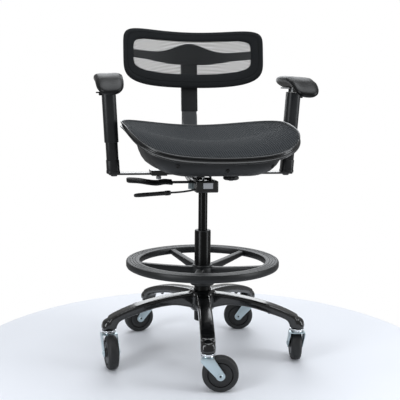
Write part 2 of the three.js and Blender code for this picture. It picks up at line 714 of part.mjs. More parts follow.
function addArm(root, side) {
  const s = side < 0 ? 'left' : 'right';
  root.add(piece(`arm_bar_${s}`, armBar(side), BLACK));
  const arm = group(root, side * ARM_X, ARM_Y, BAR_TOP);
  arm.rotation.set(rad(ARM_LEAN_FRONT), side * rad(ARM_LEAN_OUT), 0);
  arm.updateMatrix();
  const tilt = new THREE.Matrix4().extractRotation(arm.matrix);
  arm.add(piece(`arm_post_${s}`, armPost(tilt), BLACK));
  arm.add(piece(`arm_sleeve_${s}`, armSleeve(), CHARCOAL));
  arm.add(piece(`arm_lever_${s}`, armLever(side), BLACK));
  const head = group(arm);
  head.rotation.z = rad(PAD_SWIVEL[side < 0 ? 0 : 1]);
  head.add(piece(`pad_plate_${s}`, padPlate(), BLACK));
  head.add(piece(`arm_pad_${s}`, armPad(), { color: 0x4a4d52, roughness: 0.55 }));
}

// ---- back ----
const BACK_OUT = { a: BACK_WIDTH / 2, up: BACK_UP, down: BACK_DOWN, nUp: 6, nDown: 4.6 };
const SUPPORT_FRONT = BACK_THICK / 2 + 0.8;
const JACKET_FRONT = SUPPORT_FRONT + SUPPORT_THICK + GAP;
const SPINE_AT = JACKET_FRONT + JACKET_WALL + GAP + SPINE_THICK / 2;

function bend(x) {
  return -BACK_DEPTH * (x / BACK_OUT.a) ** 2;
}

// From a flat outline (x across, y up, z rearward) to the curved back.
function onBack(x, y, z) {
  return [x, bend(x) + z, y];
}

function upright(geometry) {
  return reshape(geometry, onBack);
}

function backFrame() {
  const inner = inset(BACK_OUT, BAND_SIDE, BAND_TOP, BAND_BOTTOM);
  const h = BACK_THICK / 2;
  const section = [[0, 0], [0.06, -h + 2], [0.25, -h], [1, -h + 1], [1, h - 4], [0.8, h], [0.15, h]];
  return flipped(upright(ringBetween(BACK_OUT, inner, section, 44)));
}

function flipped(geometry) {
  const g = tidy(geometry);
  const index = g.index.array;
  for (let i = 0; i < index.length; i += 3) [index[i], index[i + 1]] = [index[i + 1], index[i]];
  return g;
}

function backMesh() {
  const window = inset(BACK_OUT, BAND_SIDE + 2, BAND_TOP + 2, BAND_BOTTOM + 2);
  const flat = sheetIn(window, 2, 12, 5);
  return flipped(upright(flat.translate(0, 0, -BACK_THICK / 2 + 5)));
}

function backSupport() {
  const half = BACK_WIDTH / 2 - 24;
  const bar = new THREE.BoxGeometry(2, 2, SUPPORT_THICK, 18, 1, 1).translate(0, 0, SUPPORT_FRONT + SUPPORT_THICK / 2);
  return flipped(upright(reshape(bar, (u, v, z) => {
    const x = u * half;
    return [x, v > 0 ? 20 + 35 * Math.exp(-((x / 72) ** 2)) : -6 - 9 * Math.exp(-((x / 115) ** 4)), z];
  })));
}

function backJacket() {
  const x = SPINE_WIDTH / 2 + GAP;
  const y0 = SPINE_AT - SPINE_THICK / 2 - GAP;
  const y1 = SPINE_AT + SPINE_THICK / 2 + GAP;
  const w = JACKET_WALL;
  const outer = prism(roundedShape(2 * (x + w), y1 - y0 + 2 * w, 5), JACKET_BOTTOM, JACKET_TOP)
    .translate(0, (y0 + y1) / 2, 0);
  return cut(outer, box(-x, x, y0, y1, JACKET_BOTTOM - 5, JACKET_TOP - 6));
}

function backBar() {
  const lean = rad(BACK_LEAN);
  const at = (up) => [BACK_Y + SPINE_AT * Math.cos(lean) + up * Math.sin(lean), BACK_Z - SPINE_AT * Math.sin(lean) + up * Math.cos(lean)];
  const foot = at(-272);
  const line = curvePoints([
    [0, RECLINE_Y + 6, RECLINE_Z + 1], [0, 110, 537], [0, 160, 541], [0, foot[0] - 48, 554],
    [0, foot[0] - 20, 580], [0, foot[0] - 5, 620], [0, ...foot],
  ], 16).map((p) => [p.y, p.z]);
  line.push(at(-200), at(-100), at(SPINE_TOP));
  const knuckle = pin(20, -SPINE_WIDTH / 2, SPINE_WIDTH / 2, RECLINE_Y, RECLINE_Z, 16);
  const bore = pin(PIN_D + 2 * GAP, -60, 60, RECLINE_Y, RECLINE_Z);
  return cut(join(sideways(strip(line, SPINE_THICK), SPINE_WIDTH, 1.5, 1), knuckle), bore);
}

// ---- assembly ----
const chair = new THREE.Group();
const model = group(chair);

const base = group(model);
const star = group(base);
star.rotation.z = rad(BASE_TURN);
star.add(piece('star_base', starBase(), GLOSS_BLACK));
addCasters(base);
base.add(piece('outer_tube', outerTube(), BLACK));
base.add(piece('guide_bush', guideBush(), BLACK));
base.add(piece('thrust_bearing', thrustBearing(), STEEL));
base.add(piece('piston_rod', pistonRod(), STEEL));
const ring = group(base);
ring.rotation.z = rad(RING_TURN);
ring.add(piece('foot_ring', footRing(), BLACK));

model.add(piece('lift_cylinder', liftCylinder(), BLACK));
model.add(piece('release_button', releaseButton(), STEEL));

model.add(piece('mech_housing', mechHousing(), BLACK));
model.add(piece('tilt_axle', axlePin(TILT_Y, TILT_Z), STEEL));
model.add(piece('recline_axle', axlePin(RECLINE_Y, RECLINE_Z), STEEL));
model.add(piece('lever_bracket', leverBracket(), ZINC));
model.add(piece('height_lever', heightLever(), BLACK));
model.add(piece('height_grip', heightGrip(), BLACK));
model.add(piece('tilt_paddle', paddle(), BLACK));


model.add(piece('seat_plate', seatPlate(), BLACK));
model.add(piece('seat_pan', seatPan(), CHARCOAL));
model.add(piece('seat_frame', seatFrame(), CHARCOAL));
model.add(piece('seat_mesh', seatMesh(), { color: 0x3f4145, roughness: 0.9 }));
const boltAt = group(model, (CHANNELS[0][0] + CHANNELS[0][1]) / 2, ARM_Y, 0);
boltAt.add(piece('clamp_bolt', clampBolt(), STEEL));
const lockAt = group(model, LOCK_X, LOCK_Y, 0);
lockAt.add(piece('lock_lever', lockLever(), BLACK));
const knobAt = group(model, (CHANNELS[1][0] + CHANNELS[1][1]) / 2, ARM_Y, 0);
knobAt.add(piece('clamp_knob', clampKnob(), BLACK));

for (const side of [-1, 1]) addArm(model, side);

model.add(piece('back_bar', backBar(), GLOSS_BLACK));
const back = group(model, 0, BACK_Y, BACK_Z);
back.rotation.x = -rad(BACK_LEAN);
back.add(piece('back_jacket', backJacket(), CHARCOAL));
back.add(piece('back_support', backSupport(), BLACK));
back.add(piece('back_frame', backFrame(), CHARCOAL));
back.add(piece('back_mesh', backMesh(), { color: 0xc9ccd0, roughness: 0.8 }));

chair.updateMatrixWorld(true);
const bounds = new THREE.Box3().setFromObject(chair, true);
model.position.set(-(bounds.min.x + bounds.max.x) / 2, -(bounds.min.y + bounds.max.y) / 2, -bounds.min.z);

export default chair;
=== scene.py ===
# %% [markdown]
# # A drafting chair
# A tall swivel work chair: mesh seat, low mesh back, adjustable arms, a foot ring on the column and a
# five-legged base on casters. The design's own solids are loaded first as a fixed frame. They say where
# everything is and how it moves; each visible piece is then modelled again around them with a finer
# surface, because the design only holds the plain shapes.

# %% Load the frame
import json
import math

import bmesh
import bpy
from mathutils import Euler, Matrix, Vector


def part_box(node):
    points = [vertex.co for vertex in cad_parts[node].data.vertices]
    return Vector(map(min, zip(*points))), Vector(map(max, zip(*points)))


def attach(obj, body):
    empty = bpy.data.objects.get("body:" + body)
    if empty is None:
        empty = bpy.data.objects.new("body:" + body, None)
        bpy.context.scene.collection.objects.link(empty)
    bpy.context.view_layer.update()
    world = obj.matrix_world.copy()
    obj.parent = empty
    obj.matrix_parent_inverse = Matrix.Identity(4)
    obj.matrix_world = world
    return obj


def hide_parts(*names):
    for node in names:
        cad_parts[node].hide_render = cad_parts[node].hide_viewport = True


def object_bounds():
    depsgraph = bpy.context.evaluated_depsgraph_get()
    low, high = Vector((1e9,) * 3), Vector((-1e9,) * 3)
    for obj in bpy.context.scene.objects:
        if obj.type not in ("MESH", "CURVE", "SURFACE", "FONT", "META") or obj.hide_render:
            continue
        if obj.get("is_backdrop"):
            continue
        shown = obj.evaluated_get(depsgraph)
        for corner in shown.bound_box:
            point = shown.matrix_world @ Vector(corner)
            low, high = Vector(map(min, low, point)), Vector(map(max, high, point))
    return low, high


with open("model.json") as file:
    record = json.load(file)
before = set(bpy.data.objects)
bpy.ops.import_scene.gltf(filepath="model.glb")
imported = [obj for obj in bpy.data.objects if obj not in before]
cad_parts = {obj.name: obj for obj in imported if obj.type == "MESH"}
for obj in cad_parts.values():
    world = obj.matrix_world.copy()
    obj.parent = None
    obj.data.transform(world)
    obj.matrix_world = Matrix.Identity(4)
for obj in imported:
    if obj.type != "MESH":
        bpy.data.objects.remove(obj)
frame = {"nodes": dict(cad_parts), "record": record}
cad_low, cad_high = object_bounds()

MM = 0.001
body_of = {n: body for body, nodes in frame["record"]["behaviour"]["bodies"].items() for n in nodes}
slot_of = {part["node"]: part["material_slot"] for part in frame["record"]["subparts"]}


def middle(node):
    """The middle of a design solid's box, in millimetres."""
    low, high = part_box(node)
    return (low + high) / 2 / MM


AXIS = middle("lift_cylinder")
AXIS.z = 0
print("column axis at", [round(v, 2) for v in AXIS], "mm, frame height", round(cad_high.z, 3), "m")

# %% [markdown]
# ## Helpers for modelling by hand
# Almost every hard piece here is made in one of three ways a person would use: draw half of its outline
# and spin it, draw its whole outline and extrude it, or start from a box and bevel it. The helpers below
# do those moves with the ordinary edit-mode operators. Sizes are given in millimetres.


# %% Selecting, drawing, spinning and extruding
def deselect_all():
    """Operators act on whatever is selected, so every new piece starts from nothing selected."""
    if bpy.context.object and bpy.context.object.mode == "EDIT":
        bpy.ops.object.mode_set(mode="OBJECT")
    for thing in list(bpy.context.selected_objects):
        thing.select_set(False)


def select_only(piece):
    deselect_all()
    piece.select_set(True)
    bpy.context.view_layer.objects.active = piece


def name_it(name):
    piece = bpy.context.object
    piece.name = name
    piece.data.name = name
    return piece


def draw_line(name, points):
    """A chain of edges, drawn by extruding one vertex from point to point. Stays in edit mode."""
    deselect_all()
    bpy.ops.mesh.primitive_plane_add(size=MM, location=(0, 0, 0))
    piece = name_it(name)
    bpy.ops.object.mode_set(mode="EDIT")
    bpy.ops.mesh.merge(type="CENTER")
    bpy.ops.transform.translate(value=Vector(points[0]) * MM)
    for here, there in zip(points, points[1:]):
        step = (Vector(there) - Vector(here)) * MM
        bpy.ops.mesh.extrude_region_move(TRANSFORM_OT_translate={"value": step})
    bpy.ops.mesh.select_all(action="SELECT")
    return piece


def close_up():
    """Merges doubled vertices, points the faces outwards and leaves edit mode."""
    bpy.ops.mesh.select_all(action="SELECT")
    bpy.ops.mesh.remove_doubles(threshold=0.01 * MM)
    bpy.ops.mesh.normals_make_consistent(inside=False)
    bpy.ops.object.mode_set(mode="OBJECT")


def spun(name, profile, steps=64):
    """A turned piece: (radius, height) points spun round Z. A profile off the axis closes on itself."""
    points = [(r, 0, z) for r, z in profile]
    if min(r for r, z in profile) > 0:
        points.append(points[0])
    piece = draw_line(name, points)
    bpy.ops.mesh.spin(steps=steps, angle=2 * math.pi, center=(0, 0, 0), axis=(0, 0, 1))
    close_up()
    return piece


def mirrored(half):
    """The upper half of a profile followed by the same half turned over."""
    return half + [(r, -z) for r, z in reversed(half) if z]


def extruded(name, outline, thickness):
    """A flat piece in the XY plane: outline drawn, filled and extruded along Z, centred on Z = 0."""
    piece = draw_line(name, [(x, y, -thickness / 2) for x, y in outline])
    bpy.ops.mesh.edge_face_add()
    bpy.ops.mesh.extrude_region_move(TRANSFORM_OT_translate={"value": (0, 0, thickness * MM)})
    close_up()
    return piece


def block(name, low, high):
    """A box between two corners, as a start for a bevelled piece."""
    deselect_all()
    low, high = Vector(low), Vector(high)
    bpy.ops.mesh.primitive_cube_add(size=1, location=(low + high) / 2 * MM)
    piece = name_it(name)
    piece.scale = (high - low) * MM
    bpy.ops.object.transform_apply(location=True, rotation=True, scale=True)
    return piece


# %% Finishing: modifiers, joining, placing
def modify(piece, kind, **settings):
    """Adds one modifier, sets it and applies it."""
    select_only(piece)
    modifier = piece.modifiers.new(kind.title(), kind)
    for key, value in settings.items():
        setattr(modifier, key, value)
    bpy.ops.object.modifier_apply(modifier=modifier.name)
    return piece


def bevel(piece, width, segments=3, angle=35):
    return modify(piece, "BEVEL", width=width * MM, segments=segments, angle_limit=math.radians(angle))


def join(name, first, *others):
    select_only(first)
    for other in others:
        other.select_set(True)
    bpy.ops.object.join()
    return name_it(name)


def place(piece, matrix):
    """Moves a piece to where it belongs and puts that place into its mesh."""
    select_only(piece)
    piece.matrix_world = matrix
    bpy.ops.object.transform_apply(location=True, rotation=True, scale=True)
    return piece


def copy_of(piece, name):
    twin = piece.copy()
    twin.data = piece.data.copy()
    bpy.context.scene.collection.objects.link(twin)
    twin.name = name
    twin.data.name = name
    return twin


def reshape(piece, move):
    """Moves each vertex by a function of its place, both in millimetres."""
    for vertex in piece.data.vertices:
        vertex.co = Vector(move(*(vertex.co / MM))) * MM
    piece.data.update()
    return piece


def smooth(piece, angle=35):
    select_only(piece)
    bpy.ops.object.shade_smooth_by_angle(angle=math.radians(angle))
    return piece


def at(x=0, y=0, z=0, turn=(0, 0, 0)):
    """A place in millimetres and a turn in degrees, as a matrix."""
    turned = Euler([math.radians(t) for t in turn]).to_matrix().to_4x4()
    return Matrix.Translation(Vector((x, y, z)) * MM) @ turned


COLUMN = at(AXIS.x, AXIS.y, 0)


def belongs_to(piece, material, node):
    """The piece gets its finish and moves with a design solid, but doesn't replace it."""
    piece.data.materials.clear()
    piece.data.materials.append(material)
    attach(piece, body_of[node])
    return piece


def stands_for(piece, material, node):
    """The piece takes the place of a design solid, which is no longer shown."""
    belongs_to(piece, material, node)
    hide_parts(node)
    print(f"{piece.name}: {len(piece.data.polygons)} faces, size",
          [round(d / MM, 1) for d in piece.dimensions], "mm")
    return piece


def through(points, per=4):
    """A smooth line through a few points: each stretch is cut into `per` steps (Catmull-Rom)."""
    points = [Vector(p) for p in points]
    padded = [2 * points[0] - points[1], *points, 2 * points[-1] - points[-2]]
    line = []
    for a, b, c, d in zip(padded, padded[1:], padded[2:], padded[3:]):
        for k in range(per):
            t = k / per
            line.append(0.5 * (2 * b + (c - a) * t + (2 * a - 5 * b + 4 * c - d) * t * t
                               + (3 * b - a - 3 * c + d) * t ** 3))
    line.append(points[-1])
    return line


# %% [markdown]
# ## Materials
# Each finish is a Principled BSDF of its own, and three shared node groups do the work they have in
# common: `moulded grain` gives plastic and paint their fine texture and uneven gloss, `worn edge`
# lightens sharp edges where paint and plastic rub, and `woven cloth` draws crossing threads with painted
# shade in the gaps.


# %% Small tools for shader nodes
class Nodes:
    """Adds nodes to a tree and links them in one call."""

    def __init__(self, tree):
        self.tree = tree

    def feed(self, node, values):
        """Links each named input to a socket, or sets it to a constant."""
        for key, value in values.items():
            if isinstance(value, bpy.types.NodeSocket):
                self.tree.links.new(value, node.inputs[key])
            else:
                node.inputs[key].default_value = value
        return node

    def add(self, kind, values=None, **settings):
        node = self.tree.nodes.new(kind)
        for key, value in settings.items():
            setattr(node, key, value)
        return self.feed(node, values or {})

    def math(self, operation, a, b=0.0):
        return self.add("ShaderNodeMath", {0: a, 1: b}, operation=operation).outputs[0]

    def mix(self, share, a, b):
        """Two colours mixed; sockets 0, 6 and 7 are the share and the two colours."""
        return self.add("ShaderNodeMix", {0: share, 6: a, 7: b}, data_type="RGBA").outputs[2]

    def ramp(self, value, low, high):
        """0 below low, 1 above high, and a straight line between."""
        node = self.add("ShaderNodeMapRange", {"Value": value, "From Min": low, "From Max": high})
        return node.outputs["Result"]


def new_group(name, inputs, outputs):
    """A shader node group with named sockets: {name: (socket type, default)}."""
    tree = bpy.data.node_groups.new(name, "ShaderNodeTree")
    for key, (kind, default) in inputs.items():
        tree.interface.new_socket(name=key, in_out="INPUT", socket_type=kind).default_value = default
    for key, kind in outputs.items():
        tree.interface.new_socket(name=key, in_out="OUTPUT", socket_type=kind)
    nodes = Nodes(tree)
    return tree, nodes, nodes.add("NodeGroupInput").outputs, nodes.add("NodeGroupOutput")


FLOAT, COLOR, VECTOR = "NodeSocketFloat", "NodeSocketColor", "NodeSocketVector"


def grey(value, blue=0.0):
    """A near-neutral colour from an 0..255 screen value, made a little bluer if asked."""
    linear = (value / 255) ** 2.2
    return (linear, linear * (1 + blue / 2), linear * (1 + blue), 1)


# %% Group: moulded grain
grain_tree, n, start, end = new_group(
    "moulded grain",
    {"Color": (COLOR, grey(40)), "Grain size": (FLOAT, 900.0), "Grain depth": (FLOAT, 0.05),
     "Roughness": (FLOAT, 0.5), "Unevenness": (FLOAT, 0.1)},
    {"Color": COLOR, "Roughness": FLOAT, "Normal": VECTOR})
where = n.add("ShaderNodeTexCoord").outputs["Object"]
fine = n.add("ShaderNodeTexNoise", {"Vector": where, "Scale": start["Grain size"], "Detail": 2.0})
broad = n.add("ShaderNodeTexNoise", {"Vector": where, "Scale": 14.0, "Detail": 4.0})
drift = n.math("SUBTRACT", broad.outputs["Fac"], 0.5)
shade = n.math("ADD", n.math("MULTIPLY", drift, 0.5), 1.0)
tinted = n.add("ShaderNodeVectorMath", {0: start["Color"], 1: shade}, operation="MULTIPLY")
uneven = n.math("MULTIPLY", drift, start["Unevenness"])
bump = n.add("ShaderNodeBump", {"Height": fine.outputs["Fac"], "Strength": start["Grain depth"],
                                "Distance": 0.001})
n.feed(end, {"Color": tinted.outputs[0], "Roughness": n.math("ADD", start["Roughness"], uneven),
             "Normal": bump.outputs["Normal"]})

# %% Group: worn edge
wear_tree, n, start, end = new_group(
    "worn edge",
    {"Color": (COLOR, grey(40)), "Worn color": (COLOR, grey(90)), "Amount": (FLOAT, 0.4)},
    {"Color": COLOR})
sharp = n.add("ShaderNodeNewGeometry").outputs["Pointiness"]
spots = n.add("ShaderNodeTexNoise", {"Vector": n.add("ShaderNodeTexCoord").outputs["Object"], "Scale": 120.0})
edge = n.math("MULTIPLY", n.ramp(sharp, 0.52, 0.6), spots.outputs["Fac"])
mask = n.math("MULTIPLY", edge, start["Amount"])
n.feed(end, {"Color": n.mix(mask, start["Color"], start["Worn color"])})

# %% Group: woven cloth
weave_tree, n, start, end = new_group(
    "woven cloth",
    {"Thread": (COLOR, grey(70)), "Hole": (COLOR, grey(20)), "Pitch": (FLOAT, 2.4), "Depth": (FLOAT, 0.5),
     "Stagger": (FLOAT, 0.5)},
    {"Color": COLOR, "Roughness": FLOAT, "Normal": VECTOR})
# The gaps between threads get the second, near-black colour: painted shade seen through the weave.
flat = n.add("ShaderNodeUVMap", uv_map="cloth").outputs["UV"]
parts = n.add("ShaderNodeSeparateXYZ", {"Vector": flat})
across = n.math("DIVIDE", parts.outputs["X"], n.math("MULTIPLY", start["Pitch"], MM))
along = n.math("DIVIDE", parts.outputs["Y"], n.math("MULTIPLY", start["Pitch"], 0.62 * MM))
shifted = n.math("ADD", across, n.math("MULTIPLY", n.math("FLOOR", along), start["Stagger"]))
wave_x = n.math("COSINE", n.math("MULTIPLY", shifted, 2 * math.pi))
wave_y = n.math("COSINE", n.math("MULTIPLY", n.math("SUBTRACT", n.math("FRACT", along), 0.5), 2 * math.pi))
hole = n.ramp(n.math("ADD", wave_x, n.math("MULTIPLY", wave_y, 0.6)), 0.2, 1.0)
fuzz = n.add("ShaderNodeTexNoise", {"Vector": n.add("ShaderNodeTexCoord").outputs["Object"], "Scale": 1500.0})
lift = n.math("ADD", n.math("SUBTRACT", 1.0, hole), n.math("MULTIPLY", fuzz.outputs["Fac"], 0.25))
bump = n.add("ShaderNodeBump", {"Height": lift, "Strength": start["Depth"], "Distance": 0.0008})
broad = n.add("ShaderNodeTexNoise", {"Vector": flat, "Scale": 9.0, "Detail": 3.0})
tone = n.math("ADD", n.math("MULTIPLY", broad.outputs["Fac"], 0.3), 0.85)
thread = n.add("ShaderNodeVectorMath", {0: start["Thread"], 1: tone}, operation="MULTIPLY")
n.feed(end, {"Color": n.mix(hole, thread.outputs[0], start["Hole"]),
             "Roughness": n.math("ADD", 0.72, n.math("MULTIPLY", fuzz.outputs["Fac"], 0.2)),
             "Normal": bump.outputs["Normal"]})


# %% Finishes
def new_material(name):
    material = bpy.data.materials.new(name)
    material.use_nodes = True
    tree = material.node_tree
    return material, Nodes(tree), tree.nodes["Principled BSDF"]


def place_group(nodes, tree, **values):
    settings = {key.replace("_", " "): value for key, value in values.items()}
    return nodes.add("ShaderNodeGroup", settings, node_tree=tree)


def coated(name, color, roughness, grain=900.0, depth=0.05, wear=0.3, coat=0.0, metallic=0.0,
           specular=0.5, unevenness=0.12, worn=None):
    """Paint, plastic or plating: grain and uneven gloss, lighter worn edges, and a clear coat if glossy."""
    material, nodes, shader = new_material(name)
    base = place_group(nodes, grain_tree, Color=color, Grain_size=grain, Grain_depth=depth,
                       Roughness=roughness, Unevenness=unevenness)
    lighter = worn or tuple(min(1, c * 2.2 + 0.02) for c in color[:3]) + (1,)
    edges = place_group(nodes, wear_tree, Color=base.outputs["Color"], Worn_color=lighter, Amount=wear)
    nodes.feed(shader, {
        "Base Color": edges.outputs["Color"], "Roughness": base.outputs["Roughness"],
        "Normal": base.outputs["Normal"], "Metallic": metallic, "Specular IOR Level": specular,
        "Coat Weight": coat, "Coat Roughness": 0.06})
    return material


def near_black(name, value, roughness, **more):
    return coated(name, grey(value, BLUISH), roughness, **more)


def cloth(name, thread, hole, pitch, depth, sheen, stagger=0.5):
    """Woven mesh fabric, threads following the cloth's own flat coordinates, with painted shade in the gaps
    between them.
    """
    material, nodes, shader = new_material(name)
    weave = place_group(nodes, weave_tree, Thread=thread, Hole=hole, Pitch=pitch, Depth=depth,
                        Stagger=stagger).outputs
    nodes.feed(shader, {
        "Base Color": weave["Color"], "Roughness": weave["Roughness"], "Normal": weave["Normal"],
        "Sheen Weight": sheen, "Sheen Roughness": 0.4, "Specular IOR Level": 0.18})
    return material


BLUISH = 0.28
gloss_black = near_black("gloss black enamel", 16, 0.2, grain=260, depth=0.02, wear=0.15, coat=0.6)
tube_black = near_black("satin black tube", 10, 0.26, grain=600, depth=0.03, wear=0.1, specular=0.22)
bar_black = near_black("polished black bar", 56, 0.2, grain=300, depth=0.02, coat=1.0, specular=0.8)
steel_black = near_black("black pressed steel", 22, 0.3, grain=700, depth=0.05, wear=0.6, coat=0.5)
plastic_black = near_black("black moulded plastic", 25, 0.4, grain=1100, depth=0.09, specular=0.45)
charcoal = near_black("charcoal moulded plastic", 32, 0.42, grain=1000, depth=0.12, specular=0.4)
rim_plastic = near_black("smooth rim plastic", 24, 0.3, grain=700, depth=0.04, coat=0.25, wear=0.1)
ring_black = near_black("foot ring plastic", 26, 0.42, grain=900, depth=0.12, wear=0.8, specular=0.4)
pad_skin = near_black("soft arm pad skin", 18, 0.38, grain=420, depth=0.16, wear=0.1, specular=0.3)
rubber = coated("grey wheel rubber", grey(29, 0.14), 0.58, grain=700, depth=0.2, wear=0.5, unevenness=0.3)
wheel_grey = coated("grey wheel plastic", grey(27, 0.14), 0.42, grain=900, depth=0.1, wear=0.4)
zinc = coated("zinc plate", (0.5, 0.6, 0.64, 1), 0.33, grain=180, depth=0.05, wear=0.3, metallic=0.85,
              unevenness=0.3, worn=(0.85, 0.9, 0.92, 1))
chrome = coated("bright chrome", (0.8, 0.82, 0.84, 1), 0.09, grain=120, depth=0.01, wear=0.0, metallic=1.0,
                unevenness=0.06)
steel = coated("turned steel", (0.5, 0.52, 0.54, 1), 0.25, grain=900, depth=0.08, wear=0.3, metallic=1.0)
label_silver = coated("blank silver label", (0.6, 0.62, 0.66, 1), 0.4, grain=300, depth=0.02, wear=0.0,
                      metallic=0.3)
# Really dark thread and screws, and also the painted shade discs at the bottom of the axle bolts' drive
# holes.
dark_thread_screws_and_shade = near_black("dark thread, screws and painted socket shade", 12, 0.6)
# The second colour of each cloth is painted shade in the gaps between its threads.
seat_cloth = cloth("tight seat mesh", grey(54, BLUISH), grey(6), 7.4, 1.0, 0.02, 0.08)
band_cloth = cloth("dark band mesh", grey(38, BLUISH), grey(10), 4.6, 0.8, 0.02)
net_yarn = near_black("black net yarn", 34, 0.6, grain=1500, depth=0.2, wear=0.0)
print(len(bpy.data.materials), "materials")

# %% [markdown]
# ## The star base
# A cast and painted star: five arched legs, each ending in an upright socket for a caster stem. A casting
# has no sharp inside corners, so the legs, hub and sockets are first put together as plain shapes, then
# voxel-remeshed into one skin and relaxed, which leaves soft fillets wherever two shapes meet.

# %% Leg, socket and hub
LEGS = 5
LEG_REACH = (middle("caster_stem_1") - AXIS).xy.length
BASE_TURN = math.degrees(math.atan2(*(middle("caster_stem_1") - AXIS).yx)) + 90
LEG_WIDTH, HUB_BORE, BOSS_REACH = 41, 25.6, 212
leg_top = through([(28, 201), (70, 199.5), (118, 195), (165, 188), (203, 180), (235, 171.5), (264, 161.5),
                   (284, 153), (300, 144), (312.5, 133), (319.5, 119), (320, 111.5)], 3)
leg_bottom = through([(278, 111.5), (276, 123), (264, 136), (217, 150), (160, 163.5), (103, 168), (60, 160),
                      (28, 150)], 3)
leg = extruded("leg", [*leg_top, *leg_bottom], LEG_WIDTH)
bevel(leg, 15, 7, 50)
place(leg, at(turn=(90, 0, -90)))
socket = spun("socket", [(0, 110.4), (20.2, 110.4), (21.4, 112), (21.4, 124), (19.5, 133), (14, 139),
                         (0, 142)], 40)
place(socket, at(0, -LEG_REACH, 0))
boss = spun("boss", [(0, 143), (4, 143), (5.5, 145), (6, 156), (0, 158)], 20)
place(boss, at(0, -BOSS_REACH, 0))
spoke = join("leg", leg, socket, boss)
legs = [place(copy_of(spoke, f"leg_{k}"), at(turn=(0, 0, 360 / LEGS * k + BASE_TURN))) for k in range(LEGS)]
bpy.data.objects.remove(spoke)
hub = spun("hub", [(HUB_BORE, 144), (30, 141), (36, 145), (41, 154), (42, 166), (41.8, 198), (38, 205),
                   (31, 208.6), (HUB_BORE, 208.8)], 64)
star = join("star_casting", hub, *legs)
modify(star, "REMESH", mode="VOXEL", voxel_size=2.1 * MM)
modify(star, "SMOOTH", factor=0.5, iterations=14)
ELBOW_Z, ELBOW_R, ELBOW_REACH = 120, 24, 40
turns = [math.radians(360 / LEGS * k + BASE_TURN) for k in range(LEGS)]
sockets = [Vector((math.sin(a), -math.cos(a))) * LEG_REACH for a in turns]


def rounded_elbow(x, y, z):
    """Keeps a leg's outer end inside a round post with a round top, about its socket."""
    for centre in sockets:
        out = Vector((x, y)) - centre
        if out.length < ELBOW_REACH and out.dot(centre) > 0:
            away = Vector((*out, max(0, z - ELBOW_Z)))
            if away.length > ELBOW_R:
                away *= ELBOW_R / away.length
            return (*(centre + away.xy), ELBOW_Z + away.z if z > ELBOW_Z else z)
    return x, y, z


reshape(star, rounded_elbow)
modify(star, "SMOOTH", factor=0.5, iterations=14)
place(star, COLUMN)
select_only(star)
bpy.ops.object.shade_smooth()
stands_for(star, gloss_black, "star_base")

# %% [markdown]
# ## Casters
# Each caster is a pressed zinc-plated fork hanging from a stack of chromed ball races. The wheel is a
# moulded core with a rubber tyre; a thin groove shows where the two meet. One of each is modelled about
# its own stem, then copied five times and turned to the direction each caster trails.

# %% Races, fork, core and tyre about the stem
AXLE_Z = middle("tyre_1").z
TRAIL = (middle("tyre_1") - middle("caster_stem_1")).xy.length
FORK_HALF, CROWN, STEM_R = 23.5, 98.0, 4.8


def ball_races():
    return spun("races", [(0, 92.4), (5.2, 92.4), (5.2, 94.4), (4.4, 94.6), (4.4, 98.6), (16, 98.8),
                          (19, 100.2), (19.6, 101.6), (18.6, 103.2), (17.2, 104), (17.4, 104.8),
                          (20.6, 105.8), (21, 107.2), (20.6, 109), (19, 109.6), (5.4, 109.7), (5.4, 135),
                          (4, 136), (0, 136)], 48)


def pressed_fork():
    """Two cheeks and the crown between them, each cut from sheet, with the fold rounded."""
    arc = [(TRAIL + 13 * math.cos(a), AXLE_Z + 13 * math.sin(a))
           for a in [math.radians(d) for d in range(200, 385, 15)]]
    outline = [(-19, CROWN), (-20, CROWN - 4), (-19, CROWN - 10), *arc, (19.5, CROWN - 4), (18, CROWN)]
    cheeks = []
    for side in (-1, 1):
        cheek = extruded(f"cheek_{side}", outline, 2.8)
        bevel(cheek, 1.1, 2, 50)
        cheeks.append(place(cheek, at(0, side * (FORK_HALF - 1.4), 0, (90, 0, 0))))
    crown = extruded("crown", [(-17, -15), (-12, -FORK_HALF + 1), (12, -FORK_HALF + 1), (17, -15), (17, 15),
                               (12, FORK_HALF - 1), (-12, FORK_HALF - 1), (-17, 15)], 3)
    bevel(crown, 1.2, 2, 50)
    place(crown, at(0, 0, CROWN - 1.7))
    cup = spun("cup", [(STEM_R, CROWN - 3), (14.4, CROWN - 3), (14.4, CROWN + 4.5), (12.5, CROWN + 5.4),
                       (STEM_R, CROWN + 5.4)], 40)
    bolt = spun("bolt", mirrored([(0, -23.6), (3, -23.6), (3.3, -25.6), (5.6, -25.8), (6.6, -24.8),
                                  (6.8, -22), (3.8, -22)]), 28)
    place(bolt, at(TRAIL, 0, AXLE_Z, (90, 0, 0)))
    return join("fork", *cheeks, crown, cup, bolt)


def painted_socket_shade():
    """Dark discs at the bottom of the drive holes in the two ends of the axle bolt: painted shade in the
    recesses.
    """
    ends = [spun("hole", [(0, side * 23.4), (3.1, side * 23.4), (3.1, side * 24.6), (0, side * 24.6)], 6)
            for side in (-1, 1)]
    return join("socket_shade_discs", *ends)


def tyre_ring():
    half = [(34.9, 11), (34.9, 15), (35.8, 16), (40, 16), (45, 14.6), (48.2, 12), (49.7, 8.4), (50, 4),
            (50, 0)]
    return spun("tyre", mirrored(half), 80)


def wheel_hub():
    half = [(4.4, 19.3), (9, 19.3), (12.4, 18.4), (13.6, 15.6), (16, 14.4), (29, 14.4), (30.4, 15), (32, 15),
            (32.3, 14.4), (32.5, 11), (34.6, 10.6)]
    return spun("core", mirrored(half), 64)


